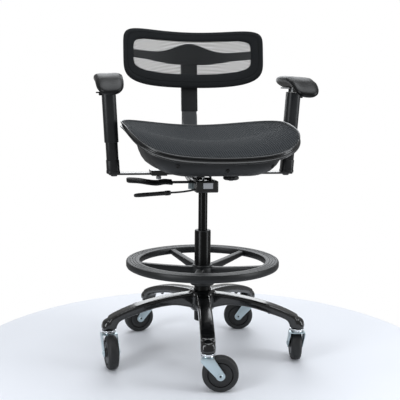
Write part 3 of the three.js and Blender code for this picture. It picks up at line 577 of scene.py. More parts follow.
# %% Five casters, each turned its own way
ON_AXLE = at(TRAIL, 0, AXLE_Z, (90, 0, 0))
makers = {"caster_stem": (ball_races, chrome, "ball_races"),
          "caster_fork": (pressed_fork, zinc, "pressed_fork"),
          "tyre": (tyre_ring, rubber, "rubber_tyre"),
          "wheel_core": (wheel_hub, wheel_grey, "moulded_core")}
for node, (maker, material, piece_name) in makers.items():
    original = maker()
    if node in ("tyre", "wheel_core"):
        place(original, ON_AXLE)
    # Dark discs in the axle bolt's drive holes are painted shade in the recesses, copied with each fork.
    socket_shade_discs = place(painted_socket_shade(), ON_AXLE) if node == "caster_fork" else None
    for k in range(1, LEGS + 1):
        stem, wheel = middle(f"caster_stem_{k}"), middle(f"tyre_{k}")
        trail = math.degrees(math.atan2(*(wheel - stem).yx))
        stand = at(stem.x, stem.y, 0, (0, 0, trail))
        piece = place(copy_of(original, f"{piece_name}_{k}"), stand)
        stands_for(smooth(piece), material, f"{node}_{k}")
        if socket_shade_discs:
            # A painted shade disc in each drive hole of the axle bolt.
            shade_disc = place(copy_of(socket_shade_discs, f"painted_socket_shade_{k}"), stand)
            belongs_to(shade_disc, dark_thread_screws_and_shade, f"{node}_{k}")
    bpy.data.objects.remove(original)
    if socket_shade_discs:
        bpy.data.objects.remove(socket_shade_discs)

# %% [markdown]
# ## Column and foot ring
# The gas lift is two turned tubes, one inside the other. The foot ring is one moulding: a flat-topped rim
# with fine grip grooves, five spokes that dip towards the middle, and a hub that clamps on the tube.

# %% Column tubes
outer = spun("column_tube", [(22.9, 112), (24, 110.2), (25, 111.4), (25, 389), (24.4, 390.6),
                             (22.9, 391)], 64)
stands_for(smooth(place(outer, COLUMN)), tube_black, "outer_tube")
bush = spun("top_bush", [(14.5, 301), (22.6, 301), (22.6, 391.4), (24.8, 391.4), (24.6, 393.6), (23, 395),
                         (14.5, 395)], 64)
stands_for(smooth(place(bush, COLUMN)), plastic_black, "guide_bush")
rod = spun("gas_cylinder", [(0, 250), (13, 250), (14, 251), (14, 515), (13.6, 519), (12.5, 548), (4.4, 548),
                            (4.4, 527), (0, 527)], 48)
stands_for(smooth(place(rod, COLUMN)), tube_black, "lift_cylinder")

# %% Foot ring
ring_low, ring_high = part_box("foot_ring")
RING_OUT, RING_TOP = (ring_high - ring_low).x / 2 / MM, ring_high.z / MM
RING_IN = RING_OUT - 42
RING_TURN, RING_THICK, SPOKE_WIDTH, CLAMP_BORE = 20.5, 22, 24, 25.6
grooves = []
for inward in (10, 18, 26):
    x = RING_OUT - inward
    grooves += [(x, RING_TOP), (x - 0.9, RING_TOP - 1.2), (x - 2.4, RING_TOP - 1.2), (x - 3.3, RING_TOP)]
low = RING_TOP - RING_THICK
rim = spun("rim", [(RING_IN + 4, low), (RING_OUT - 6, low), (RING_OUT - 2, low + 2), (RING_OUT, low + 6),
                   (RING_OUT, RING_TOP - 5), (RING_OUT - 1.4, RING_TOP - 1.6),
                   (RING_OUT - 4.5, RING_TOP), *grooves,
                   (RING_IN + 5, RING_TOP), (RING_IN + 1.4, RING_TOP - 1.4), (RING_IN, RING_TOP - 5),
                   (RING_IN, low + 5), (RING_IN + 1.2, low + 1.2)], 128)
hub = spun("hub", [(CLAMP_BORE, 223.5), (36, 223.5), (38, 226), (38, 276), (35, 281), (31, 283), (30, 286),
                   (27, 287), (CLAMP_BORE, 287)], 64)
side = [(20, 262), (20, 281), (60, 283.5), (120, 290), (RING_IN - 12, 298), (RING_IN + 6, 302),
        (RING_IN + 8, 286), (RING_IN - 20, 281), (100, 268), (50, 258)]
spokes = []
for k in range(LEGS):
    spoke = bevel(extruded(f"spoke_{k}", side, SPOKE_WIDTH), 5, 4, 60)
    spokes.append(place(spoke, at(turn=(90, 0, RING_TURN + 90 + 360 / LEGS * k))))
cut_hole = spun("hole", [(0, 200), (CLAMP_BORE, 200), (CLAMP_BORE, 320), (0, 320)], 64)
arms = join("spokes", *spokes)
bpy.context.view_layer.update()
modify(arms, "BOOLEAN", object=cut_hole, operation="DIFFERENCE", solver="EXACT")
bpy.data.objects.remove(cut_hole)
ring = join("foot_ring_moulding", rim, hub, arms)
stands_for(smooth(place(ring, COLUMN)), ring_black, "foot_ring")

# %% [markdown]
# ## Shapes that follow a surface
# The seat and the back aren't flat, so their rims can't be spun or extruded as they are. They are made
# flat first, where a spin is easy, and then every vertex is moved onto the real surface by a function:
# the seat is dished and raised at its sides, and the back wraps forward round the sitter.


# %% Outlines, and moving a mesh onto a surface
def outline(a, up, down, n_up, n_down):
    """A rounded outline: half width, reach to +Y and -Y, and how square each half is."""
    return {"a": a, "up": up, "down": down, "n_up": n_up, "n_down": n_down}


def inset(shape, side, up=None, down=None):
    smaller = dict(shape)
    smaller["a"] -= side
    smaller["up"] -= side if up is None else up
    smaller["down"] -= side if down is None else down
    return smaller


def edge_point(shape, c, s):
    """Where the outline crosses the direction (c, s)."""
    n = shape["n_up"] if s > 0 else shape["n_down"]
    k = (abs(c) ** n + abs(s) ** n) ** (-1 / n)
    return shape["a"] * k * c, (shape["up"] if s > 0 else shape["down"]) * k * s


def share_out(shape, x, y):
    """0 in the middle of an outline, 1 on its edge, more than 1 outside."""
    n, reach = (shape["n_up"], shape["up"]) if y > 0 else (shape["n_down"], shape["down"])
    return (abs(x / shape["a"]) ** n + abs(y / reach) ** n) ** (1 / n)


def recalculate(piece):
    select_only(piece)
    bpy.ops.object.mode_set(mode="EDIT")
    bpy.ops.mesh.select_all(action="SELECT")
    bpy.ops.mesh.normals_make_consistent(inside=False)
    bpy.ops.object.mode_set(mode="OBJECT")
    return piece


def ring_between(name, outer_shape, inner_shape, section, steps):
    """A flat ring with one section all round: (share from outer to inner, height) pairs."""
    ring = spun(name, [(100 - 50 * t, h) for t, h in section], steps)

    def onto(x, y, z):
        r = math.hypot(x, y)
        (ox, oy), (ix, iy) = (edge_point(s, x / r, y / r) for s in (outer_shape, inner_shape))
        t = (100 - r) / 50
        return ox + (ix - ox) * t, oy + (iy - oy) * t, z

    return reshape(ring, onto)


def grid_in(name, shape, across, along):
    """A flat grid that fills an outline, its lines following the edge."""
    deselect_all()
    bpy.ops.mesh.primitive_grid_add(x_subdivisions=across, y_subdivisions=along, size=2 * MM)
    piece = name_it(name)

    def fill(u, v, z):
        m, r = max(abs(u), abs(v)), math.hypot(u, v)
        if m < 1e-6:
            return 0, 0, 0
        ex, ey = edge_point(shape, u / r, v / r)
        return ex * m, ey * m, 0

    return reshape(piece, fill)


def lay_threads(piece, along="xy"):
    """Stores the flat place of every corner, in metres, as the map the woven pattern follows."""
    first, second = ("xyz".index(letter) for letter in along)
    for layer in list(piece.data.uv_layers):
        piece.data.uv_layers.remove(layer)
    layer = piece.data.uv_layers.new(name="cloth")
    for loop in piece.data.loops:
        corner = piece.data.vertices[loop.vertex_index].co
        layer.data[loop.index].uv = (corner[first], corner[second])


def repeat(name, pattern, places):
    """One small mesh copied to many places and kept as a single piece."""
    copies = bmesh.new()
    for matrix in places:
        one = pattern.data.copy()
        one.transform(matrix)
        copies.from_mesh(one)
        bpy.data.meshes.remove(one)
    copies.to_mesh(pattern.data)
    copies.free()
    pattern.name = name
    pattern.data.name = name
    return pattern


# %% The seat's own surface
SEAT = outline(273, 210, 248, 2.4, 4.6)
SEAT_Y, SEAT_Z, SEAT_TAPER = -67, 673, 0.15
SIDE_RISE, BACK_RISE, FRONT_DROP, FRONT_SIDE_RISE, BACK_CORNER_DROP = 50, 42, 40, 19, 7


def on_seat(x, y, z):
    """From the flat outline to the tapered, dished seat."""
    u = x / SEAT["a"]
    back, front = max(y, 0) / SEAT["up"], max(-y, 0) / SEAT["down"]
    height = SEAT_Z + SIDE_RISE * u * u * (1 - front) + BACK_RISE * back ** 1.2 - FRONT_DROP * front ** 3
    height += FRONT_SIDE_RISE * u * u * front - BACK_CORNER_DROP * u ** 4 * back
    return x * (1 - SEAT_TAPER * (1 - y / SEAT["down"]) / 2), y + SEAT_Y, height + z


# %% [markdown]
# ## The seat
# A moulded rim carries the mesh. Its section has a small bead round the top, a hollow dark band below it
# and a lip at the bottom. The mesh is one cloth stretched over the rim, held by a line of stitches just
# inside the bead. Below it sits a shallow moulded pan with screws through its skirt.

# %% Rim with bead, band and lip
RIM_WIDTH = 26
rim_section = [(1, -2.6), (0.3, -2.4), (0.2, -2.2), (0.19, -0.6), (0.165, 0.7), (0.12, 1.2), (0.075, 0.8),
               (0.05, -0.6), (0.06, -2.6), (0.13, -4.4), (0.19, -7), (0.17, -9.6), (0.07, -11.4),
               (0.014, -12.4), (0, -13.8),
               (0.008, -15), (0.05, -16), (0.15, -16.2), (0.75, -16), (1, -9)]
rim = ring_between("seat_rim", SEAT, inset(SEAT, RIM_WIDTH), rim_section, 160)
recalculate(place(reshape(rim, on_seat), COLUMN))
stands_for(smooth(rim, 40), rim_plastic, "seat_frame")

# %% Stretched seat mesh
CLOTH_INSET, CLOTH_LIFT = 5.2, -0.2
DIPS = ((0.9, 10.5, 1.6), (1.0, 28, 9))  # how deep, how far in from the rim, how wide
seat_sheet = grid_in("seat_mesh_cloth", inset(SEAT, CLOTH_INSET), 72, 72)
lay_threads(seat_sheet)


def drawn_down(x, y, z):
    """The cloth dips a little where the stitches hold it, close to the rim."""
    share = max(share_out(SEAT, x, y), 0.01)
    inward = math.hypot(x, y) * (1 / share - 1)
    dip = sum(deep * math.exp(-((inward - far) / wide) ** 2) for deep, far, wide in DIPS)
    return on_seat(x, y, CLOTH_LIFT - dip)


place(reshape(seat_sheet, drawn_down), COLUMN)
modify(seat_sheet, "SUBSURF", levels=1, render_levels=1)
modify(seat_sheet, "SOLIDIFY", thickness=1.4 * MM, offset=-1)
stands_for(smooth(seat_sheet, 60), seat_cloth, "seat_mesh")

# %% Stitches inside the bead
STITCH_IN, STITCH_PITCH = 11.5, 8
stitch = bevel(block("stitch", (-2.6, -1.5, -0.5), (2.6, 1.5, 0.5)), 0.3, 1)
stitch_line = inset(SEAT, STITCH_IN)
places, steps = [], 900
walk = [Vector((*edge_point(stitch_line, math.cos(a), math.sin(a)), 0))
        for a in [2 * math.pi * k / steps for k in range(steps)]]
reach = 0.0
for here, there in zip(walk, walk[1:] + walk[:1]):
    reach += (there - here).length
    if reach > STITCH_PITCH:
        reach = 0.0
        a, b = Vector(on_seat(*here.xy, -0.3)), Vector(on_seat(*there.xy, -0.3))
        turn = (b - a).to_track_quat("X", "Z").to_matrix().to_4x4()
        places.append(Matrix.Translation(a * MM) @ turn)
stitches = place(repeat("seat_stitches", stitch, places), COLUMN)
belongs_to(stitches, dark_thread_screws_and_shade, "seat_mesh")
print(len(places), "stitches")

# %% Pan under the seat
PAN_TOP_DROP, PAN_FLOOR = -16.4, 580
PAN_FLAT, PAN_SLOPE, PAN_RISE = 84, 110, 34
PAN_EDGE = inset(SEAT, 44)
pan_section = [(0, 0), (60, 0), (80, 0.5), (86, 4), (91, 15), (95, 34), (97.5, 56), (98.6, 68), (99.8, 70),
               (99.8, 76), (98.9, 78), (99.6, 92), (100, 100), (97.5, 100), (95, 60), (89, 26), (79, 6),
               (0, 6)]
pan = spun("seat_pan_moulding", pan_section, 128)


def on_pan(x, y, z):
    """The pan's rim follows the seat and its floor stays low, rising a little to the sides."""
    r = math.hypot(x, y)
    ex, ey = edge_point(PAN_EDGE, x / r, y / r) if r > 1e-6 else (0, 0)
    sx, sy, top = on_seat(ex * r / 100, ey * r / 100, PAN_TOP_DROP)
    low = PAN_FLOOR + PAN_RISE * (max(abs(sx) - PAN_FLAT, 0) / PAN_SLOPE) ** 2
    return sx, sy, low + (top - low) * z / 100


recalculate(place(reshape(pan, on_pan), COLUMN))
stands_for(smooth(pan, 40), charcoal, "seat_pan")

# %% Screws through the pan's skirt
screw = spun("screw", [(0, 1.2), (2, 1.2), (2.4, 2.6), (4.2, 3), (5.6, 2.2), (6.2, 0.4), (6.2, -2),
                       (0, -2)], 20)
SCREW_SPOTS = ((-116, 610), (19, 597), (150, 608))
found = []
for x, z in SCREW_SPOTS:
    hit, spot, normal, _ = pan.ray_cast(Vector((x, -600, z)) * MM, Vector((0, 1, 0)))
    if hit:
        found.append(Matrix.Translation(spot) @ normal.to_track_quat("Z", "Y").to_matrix().to_4x4())
belongs_to(smooth(repeat("pan_screws", screw, found)), dark_thread_screws_and_shade, "seat_pan")
print(len(found), "screws found a place on the pan")

# %% [markdown]
# ## The mechanism and its levers
# Under the seat is a pressed steel box on top of the gas cylinder. It's made from a block: its corners
# are bevelled, its top face is inset and pushed down to leave the walls. The levers are a bent rod with
# a moulded grip, a wavy paddle and a flat blade.

# %% Box, label and bosses
BOX_HALF, BOX_FRONT, BOX_BACK, BOX_LOW, BOX_HIGH, BOX_WALL = 34.3, -70, 62, 517, 552, 3.3


def hollow_from(piece, direction, wall, depth):
    """Insets the face that looks along a direction and pushes it in, leaving a wall all round."""
    select_only(piece)
    bpy.ops.object.mode_set(mode="EDIT")
    bpy.ops.mesh.select_all(action="DESELECT")
    shell = bmesh.from_edit_mesh(piece.data)
    direction = Vector(direction)
    facing = [f for f in shell.faces if f.normal.dot(direction) > 0.99]
    end = max(facing, key=lambda f: (f.calc_center_median().dot(direction), f.calc_area()))
    end.select_set(True)
    bmesh.update_edit_mesh(piece.data)
    bpy.ops.mesh.inset(thickness=wall * MM, depth=0)
    bpy.ops.mesh.extrude_region_move(TRANSFORM_OT_translate={"value": -direction * depth * MM})
    bpy.ops.object.mode_set(mode="OBJECT")
    return piece


box = block("mechanism_box", (-BOX_HALF, BOX_FRONT, BOX_LOW), (BOX_HALF, BOX_BACK, BOX_HIGH))
bevel(box, 4, 4)
hollow_from(box, (0, 0, 1), BOX_WALL, BOX_HIGH - BOX_LOW - 4)
boss = spun("boss", [(14.3, 518), (19.5, 518), (19.5, 543), (18, 545), (14.3, 545)], 40)
ears = []
for y, z in ((30, 540), (48, 534)):
    for side in (-1, 1):
        ear = spun("ear", [(5.4, -1), (9.5, -1), (9.5, 0.9), (8.7, 1.6), (5.4, 1.6)], 28)
        ears.append(place(ear, at(side * BOX_HALF, y, z, (0, 90 * side, 0))))
box = join("mechanism_box", box, boss, *ears)
place(box, COLUMN)
stands_for(smooth(box), steel_black, "mech_housing")
label = bevel(block("blank_label", (-12, BOX_FRONT - 0.35, 529), (17, BOX_FRONT + 0.2, 546)), 0.3, 2)
belongs_to(place(label, COLUMN), label_silver, "mech_housing")


# %% Bent rod and its grip
def rod_along(name, points, diameter, per=5):
    """A round rod through a few points: a curve with a bevel, turned into a mesh."""
    deselect_all()
    curve = bpy.data.curves.new(name, "CURVE")
    curve.dimensions = "3D"
    curve.bevel_depth = diameter / 2 * MM
    curve.bevel_resolution = 4
    curve.use_fill_caps = True
    line = through(points, per)
    spline = curve.splines.new("POLY")
    spline.points.add(len(line) - 1)
    for point, spot in zip(spline.points, line):
        point.co = (*(spot * MM), 1)
    holder = bpy.data.objects.new(name, curve)
    bpy.context.scene.collection.objects.link(holder)
    select_only(holder)
    bpy.ops.object.convert(target="MESH")
    return recalculate(name_it(name))


LEVER_X, LEVER_Y, GRIP_X, GRIP_Z, GRIP_LONG, GRIP_RISE = -30, -45, -216, 509, 110, 7
over = 556.6 + 0.3 + 3  # the button's top, a small gap and half the rod
high = GRIP_Z + GRIP_RISE
lever = rod_along("height_rod", [
    (GRIP_X + GRIP_LONG - 6, LEVER_Y, high), (-82, LEVER_Y, high + 1.5), (-58, LEVER_Y, high + 4),
    (LEVER_X - 4, LEVER_Y, high + 9), (LEVER_X, LEVER_Y, high + 18), (LEVER_X, LEVER_Y, 548),
    (LEVER_X + 5, LEVER_Y + 5, over - 1), (LEVER_X + 14, LEVER_Y + 16, over), (-12, -14, over),
    (4, 5, over)], 5.8)
stands_for(smooth(place(lever, COLUMN), 60), steel_black, "height_lever")
grip = spun("lever_grip", [
    (0, 0), (2.4, 0.2), (4.6, 2.2), (5.6, 6), (6.2, 14), (6.4, 30), (6.2, 60), (6.4, 88), (6.5, 92),
    (7.3, 93.5),
    (7.5, 96), (7.5, 104), (7, 107.5), (5.4, 110), (3.4, 110), (3.2, 95), (0, 95)], 36)
tilt = math.degrees(math.atan2(GRIP_RISE, GRIP_LONG))
place(grip, COLUMN @ at(GRIP_X, LEVER_Y, GRIP_Z) @ at(turn=(0, 90 - tilt, 0)))
stands_for(smooth(grip), plastic_black, "height_grip")


# %% Paddle, lock lever and knob
def strip_outline(line, thickness):
    """The outline of a strip of even thickness along a line of (across, up) points."""
    line = [Vector(p).xy for p in line]
    left, right = [], []
    for k, here in enumerate(line):
        along = (line[min(k + 1, len(line) - 1)] - line[max(k - 1, 0)]).normalized()
        side = Vector((-along.y, along.x)) * thickness / 2
        left.append(here + side)
        right.append(here - side)
    return left + right[::-1]


STAND_YZ = Matrix(((0, 0, 1, 0), (1, 0, 0, 0), (0, 1, 0, 0), (0, 0, 0, 1)))
PADDLE_Y, PADDLE_Z, PADDLE_TURN, TIP_X, TIP_LONG = -20, 545, 24, -226, 12
wave = through([(-98, PADDLE_Z, 0), (-122, PADDLE_Z + 2.2, 0), (-146, PADDLE_Z - 1.6, 0),
                (-170, PADDLE_Z + 1, 0), (-200, PADDLE_Z + 6.5, 0), (-236, PADDLE_Z + 9, 0)], 5)
paddle = bevel(extruded("tilt_paddle_blade", strip_outline(wave, 6.5), 27), 2.2, 3, 60)
place(paddle, at(0, PADDLE_Y, 0, (90, 0, 0)))


def rounded_tip(x, y, z):
    """Narrows the blade at its far end, so it ends in a half round seen from above."""
    past = max(0, (TIP_X - x) / TIP_LONG)
    return x, PADDLE_Y + (y - PADDLE_Y) * math.sqrt(max(0.12, 1 - past * past)), z


reshape(paddle, rounded_tip)
place(paddle, at(0, PADDLE_Y, PADDLE_Z, (PADDLE_TURN, 0, 0)) @ at(0, -PADDLE_Y, -PADDLE_Z))
shaft = spun("shaft", [(0, -106), (4, -105), (4, -30), (3.4, -29), (0, -29)], 20)
place(shaft, at(0, PADDLE_Y, PADDLE_Z, (0, 90, 0)))
paddle = place(join("wavy_paddle", paddle, shaft), COLUMN)
stands_for(smooth(recalculate(paddle), 40), plastic_black, "tilt_paddle")

LOCK_TOP, KNOB_TOP = 571.4, 562.5
half_blade = [(136, 0), (134, 5), (128, 7.5), (100, 5), (20, 7), (-8, 8)]
blade = [(x, -y) for x, y in reversed(half_blade)] + half_blade[1:] + [(-11, 0)]
lock = bevel(extruded("blade", blade, 4), 1.2, 3, 40)
lock = join("lock_blade", place(lock, at(0, 0, LOCK_TOP - 11)),
            spun("hub", [(0, LOCK_TOP - 10), (7, LOCK_TOP - 10), (7, LOCK_TOP), (0, LOCK_TOP)], 24))
stands_for(smooth(place(lock, COLUMN @ at(62, 78, 0))), steel_black, "lock_lever")

knob = spun("knob", [(r, KNOB_TOP - drop) for r, drop in (
    (0, 18), (9, 18), (10, 16.4), (19, 16.6), (22.6, 15), (24.6, 12.4), (25, 9), (24, 6), (20, 3), (10, 2),
    (10, 0), (0, 0))], 96)


def fluted(x, y, z):
    """Twelve shallow finger flutes, deepest at the knob's edge."""
    deep = 0.035 * max(0, (math.hypot(x, y) - 19) / 6)
    share = 1 - deep * (1 + math.cos(12 * math.atan2(y, x)))
    return x * share, y * share, z


knob_place = COLUMN @ at(93, 25, 0)
stands_for(smooth(place(reshape(knob, fluted), knob_place)), plastic_black, "clamp_knob")
cap = spun("knob_cap", [(r, KNOB_TOP - drop) for r, drop in (
    (0, 19.6), (5, 19.4), (7, 18.6), (7.4, 17), (0, 17))], 32)
belongs_to(smooth(place(cap, knob_place)), chrome, "clamp_knob")

# %% [markdown]
# ## The arms
# Each arm is a flat bar, an upright post with a collar, a sleeve that slides on it and a soft pad. The
# pad is a skinned foam moulding: a sphere is drawn out along the pad's own bent middle line and squared
# up, then its top is hollowed for the forearm and its underside narrowed.


# %% Rounded upright pieces
def rounded_outline(width, depth, radius, steps=8):
    points = []
    for cx, cy, start in ((1, 1, 0), (-1, 1, 90), (-1, -1, 180), (1, -1, 270)):
        for k in range(steps + 1):
            a = math.radians(start + 90 * k / steps)
            points.append((cx * (width / 2 - radius) + radius * math.cos(a),
                           cy * (depth / 2 - radius) + radius * math.sin(a)))
    return points


def upright_prism(name, width, depth, radius, low, high):
    prism = extruded(name, rounded_outline(width, depth, radius), high - low)
    return place(prism, at(0, 0, (low + high) / 2))


POST_X, POST_Y, SLEEVE_LOW, SLEEVE_HIGH, PAD_LOW = 36, 40, 92, 248, 262
ARM_X, ARM_Y, BAR_TOP, POST_LEAN = 272, 25, 571.4, 3


def arm_post():
    collar = bevel(upright_prism("collar", POST_X + 3, POST_Y + 3, 14, -1, 39), 1.6, 3, 50)
    shoe = bevel(upright_prism("shoe", POST_X + 5, POST_Y + 5, 15, -1, 7), 1.2, 2, 50)
    post = bevel(upright_prism("post", POST_X, POST_Y, 13, 30, 180), 1, 2, 50)
    return join("post", collar, shoe, post)


def arm_sleeve():
    sleeve = upright_prism("sleeve", POST_X + 5.8, POST_Y + 5.8, 15, SLEEVE_LOW, SLEEVE_HIGH)
    hollow_from(sleeve, (0, 0, -1), 2.6, SLEEVE_HIGH - SLEEVE_LOW - 8)
    return bevel(sleeve, 1.4, 3, 50)


def release_tab(side):
    x = POST_X / 2 + 3.2
    tab = bevel(block("tab", (x, -9, SLEEVE_HIGH - 16), (x + 8, 9, SLEEVE_HIGH - 5)), 1.6, 3)
    wing = bevel(block("wing", (x + 6, -9, SLEEVE_HIGH - 9), (x + 16, 9, SLEEVE_HIGH - 5)), 1.4, 3)
    return place(join("tab", tab, wing), at(turn=(0, 0, 0 if side > 0 else 180)))


# %% Pad along a bent middle line
PAD_SPINE = through([(x, PAD_LOW + rise, 0) for x, rise in (
    (100, 17), (60, 19.5), (0, 19.5), (-50, 18), (-88, 10), (-120, -5), (-146, -22))], 8)
PAD_HALF, PAD_THICK, PAD_DISH, UNDER_SWELL = 41, 17.5, 4.2, 7


def spine_at(share):
    """Place and direction on the pad's middle line: 0 at the rear end, 1 at the front end."""
    far = share * (len(PAD_SPINE) - 1)
    k = min(int(far), len(PAD_SPINE) - 2)
    a, b = PAD_SPINE[k], PAD_SPINE[k + 1]
    return a.lerp(b, far - k), (b - a).normalized()


def squared(value, n):
    return math.copysign(abs(value) ** (2 / n), value)


def arm_pad():
    deselect_all()
    bpy.ops.mesh.primitive_uv_sphere_add(segments=56, ring_count=44, radius=MM)
    pad = name_it("pad")

    def drawn_out(x, y, z):
        length = max(1e-9, math.hypot(x, y))
        s, k = squared(z, 5.5), squared(length, 3.2)
        across, up = squared(x / length, 3.0), squared(y / length, 2.7)
        share = (1 - s) / 2
        centre, along = spine_at(share)
        half = PAD_HALF - 4 * share ** 3
        thick = PAD_THICK - 4 * share ** 2
        if up < 0:
            half *= 1 - 0.2 * abs(up)
            thick += UNDER_SWELL * math.exp(-((centre.x / 62) ** 4))
        hollow = PAD_DISH * (across ** 2 - 0.55) * max(0, up) * k
        normal = Vector((along.y, -along.x, 0))
        spot = centre + normal * (up * thick * k + hollow)
        return across * half * k, spot.x, spot.y

    return smooth(recalculate(reshape(pad, drawn_out)), 80)


# %% Both arms, put together on their bars
for side, name in ((-1, "left"), (1, "right")):
    arm_place = COLUMN @ at(side * ARM_X, ARM_Y, BAR_TOP, (POST_LEAN, side * POST_LEAN, 0))
    bar = bevel(block("bar", (60, -22, BAR_TOP - 6), (286, 22, BAR_TOP)), 1.3, 3)
    bolt_cap = spun("bolt_cap", [(0, 560.4), (3.6, 560.4), (4, 561.8), (7.6, 560.3), (9.4, 561), (10, 562.6),
                                 (10, 566.4), (0, 566.4)], 32)
    bar = join(f"arm_bar_{name}_flat", bar, place(bolt_cap, at(ARM_X - 2, 0, 0)))
    place(bar, COLUMN @ at(0, ARM_Y, 0, (0, 0, 0 if side > 0 else 180)))
    stands_for(smooth(bar), steel_black, f"arm_bar_{name}")
    for maker, material, node, title in (
            (arm_post, plastic_black, "arm_post", "post"), (arm_sleeve, charcoal, "arm_sleeve", "sleeve"),
            (lambda: release_tab(side), plastic_black, "arm_lever", "release")):
        piece = place(maker(), arm_place)
        piece.name = f"{title}_{name}"
        stands_for(smooth(piece), material, f"{node}_{name}")
    pad = place(arm_pad(), arm_place)
    pad.name = f"soft_pad_{name}"
    stands_for(pad, pad_skin, f"arm_pad_{name}")

# %% [markdown]
# ## The back
# A moulded band covered in a dark mesh frames an open net. Behind it a curved T-shaped support carries
# the band, and a jacket slides on the flat steel bar that comes up from under the seat.

# %% The back's own surface
BACK = outline(230, 91, 96, 6, 4.6)
BAND = (35, 31, 46)
BACK_Y, BACK_Z, BACK_LEAN, BACK_WRAP = 262, 932, 7, 88
BACK_PLACE = COLUMN @ at(0, BACK_Y, BACK_Z, (-BACK_LEAN, 0, 0))


def on_back(x, y, z):
    """From a flat outline, x across and y up, to the curved back standing upright."""
    return x, -BACK_WRAP * (x / BACK["a"]) ** 2 + z, y


# %% Band with its seam
band_section = [(0, 0.5), (0.012, -2.6), (0.05, -5.4), (0.12, -7.2), (0.22, -8), (0.37, -8.3), (0.388, -7),
                (0.412, -7), (0.43, -8.2), (0.68, -8.1), (0.88, -7.4), (0.965, -6.2), (1, -4.2), (1, 4),
                (0.8, 8), (0.15, 8), (0.03, 5)]
back_band = ring_between("back_band", BACK, inset(BACK, *BAND), band_section, 176)
lay_threads(back_band)
recalculate(place(reshape(back_band, on_back), BACK_PLACE))
stands_for(smooth(back_band, 50), band_cloth, "back_frame")

# %% [markdown]
# The net is knitted: short dark dashes in staggered rows, tied to the next row by thin threads. One cell
# of it is modelled and repeated over the window, and the whole net is then bent like the back.

# %% Open net in the window
PITCH_X, PITCH_Y = 7.2, 4.7
dash = block("net_cell", (-3, -1.3, -0.4), (3, 1.3, 0.4))
ties = []
for side in (-1, 1):
    tie = block("tie", (-2.6, -0.2, -0.2), (2.6, 0.2, 0.2))
    turn = math.degrees(math.atan2(PITCH_Y, side * (PITCH_X / 2 - 2)))
    ties.append(place(tie, at(side * (PITCH_X / 4 + 0.6), PITCH_Y / 2, 0, (0, 0, turn))))
cell = join("net_cell", dash, *ties)
window = inset(BACK, BAND[0] - 4, BAND[1] - 4, BAND[2] - 4)
places = []
for row in range(-30, 30):
    for column in range(-40, 41):
        x, y = (column + 0.5 * (row % 2)) * PITCH_X, row * PITCH_Y
        if share_out(window, x, y) < 1:
            places.append(at(x, y, -3))
net = repeat("back_net", cell, places)
recalculate(place(reshape(net, on_back), BACK_PLACE))
stands_for(net, net_yarn, "back_mesh")

# %% T-shaped support
HALF_SUPPORT = 206
deselect_all()
bpy.ops.mesh.primitive_grid_add(x_subdivisions=72, y_subdivisions=8, size=2 * MM)
support = name_it("t_support")


def t_shape(u, v, z):
    x = u * HALF_SUPPORT
    top = 20 + 35 * math.exp(-((x / 72) ** 2))
    bottom = -6 - 9 * math.exp(-((x / 115) ** 4))
    end = math.sqrt(max(0, 1 - max(0, (abs(x) - HALF_SUPPORT + 8) / 8) ** 2) * 0.7 + 0.3)
    centre = (top + bottom) / 2
    return x, centre + (top - bottom) / 2 * v * end, 9


reshape(support, t_shape)
modify(support, "SOLIDIFY", thickness=9.6 * MM, offset=1)
reshape(support, on_back)
bevel(recalculate(support), 2.4, 3, 50)
place(support, BACK_PLACE)
stands_for(smooth(support), plastic_black, "back_support")

# %% Jacket and the flat bar inside it
JACKET_MID = 27.5
jacket = block("jacket", (-27.4, JACKET_MID - 8.4, -171), (27.4, JACKET_MID + 8.4, 46))
hollow_from(jacket, (0, 0, -1), 3.6, 200)
bevel(jacket, 3, 4)
stands_for(smooth(place(jacket, BACK_PLACE)), charcoal, "back_jacket")

LEAN = math.radians(BACK_LEAN)
BEND_TOP, JACKET_END = -272, -226


def up_the_back(up):
    """A point on the bar's middle line, seen from the side, so far up from the middle of the back."""
    return (BACK_Y + JACKET_MID * math.cos(LEAN) + up * math.sin(LEAN),
            BACK_Z - JACKET_MID * math.sin(LEAN) + up * math.cos(LEAN), 0)


foot_y = up_the_back(BEND_TOP)[0]
bar_line = through([(54, 535, 0), (110, 537, 0), (160, 541, 0), (foot_y - 48, 554, 0), (foot_y - 20, 580, 0),
                    (foot_y - 5, 620, 0), *map(up_the_back, (BEND_TOP, -243, JACKET_END))], 5)
bar_line += [Vector(up_the_back(up)) for up in (-200, -100, -17)]
flat_bar = extruded("flat_bar", strip_outline(bar_line, 9), 47)
JACKET_REACH = up_the_back(JACKET_END)[1]


def flared(x, y, z):
    """The bar is narrow where the jacket slides on it and wider below."""
    wide = min(1, max(0, (JACKET_REACH - y) / 14))
    return x, y, z * (1 + 0.17 * wide)


bevel(reshape(flat_bar, flared), 1.8, 3, 50)
knuckle = spun("knuckle", mirrored([(5.3, -23.5), (9.4, -23.5), (10, -22.8)]), 32)
flat_bar = join("spine_bar", place(flat_bar, STAND_YZ), place(knuckle, at(0, 48, 534, (0, 90, 0))))
stands_for(smooth(place(recalculate(flat_bar), COLUMN)), bar_black, "back_bar")

# %% [markdown]
# ## Pieces kept from the design
# A few small or hidden solids already have the right shape. They keep their mesh and get the finish of
# their material slot, with a small live bevel so that their edges catch the light.

# %% Finishes for the kept solids
FINISH_OF = {"steel": steel, "zinc": zinc, "steel_black": steel_black, "plastic_black": plastic_black,
             "tube_black": tube_black, "chrome": chrome}
kept = [name for name, solid in frame["nodes"].items() if not solid.hide_render]
for name in kept:
    solid = frame["nodes"][name]
    for material_slot in solid.material_slots:
        material_slot.material = FINISH_OF[slot_of[name]]
    weld = solid.modifiers.new("Weld", "WELD")
    weld.merge_threshold = 0.01 * MM
    edge = solid.modifiers.new("Bevel", "BEVEL")
    edge.width, edge.segments, edge.limit_method = 0.6 * MM, 2, "ANGLE"
print("kept from the design:", ", ".join(kept))

# %% [markdown]
# ## Floor, light and camera
# A pale disc for a floor, a white surround, and four large soft lights. The two tall side lights leave
# long upright highlights on the glossy legs, which show how round they are.

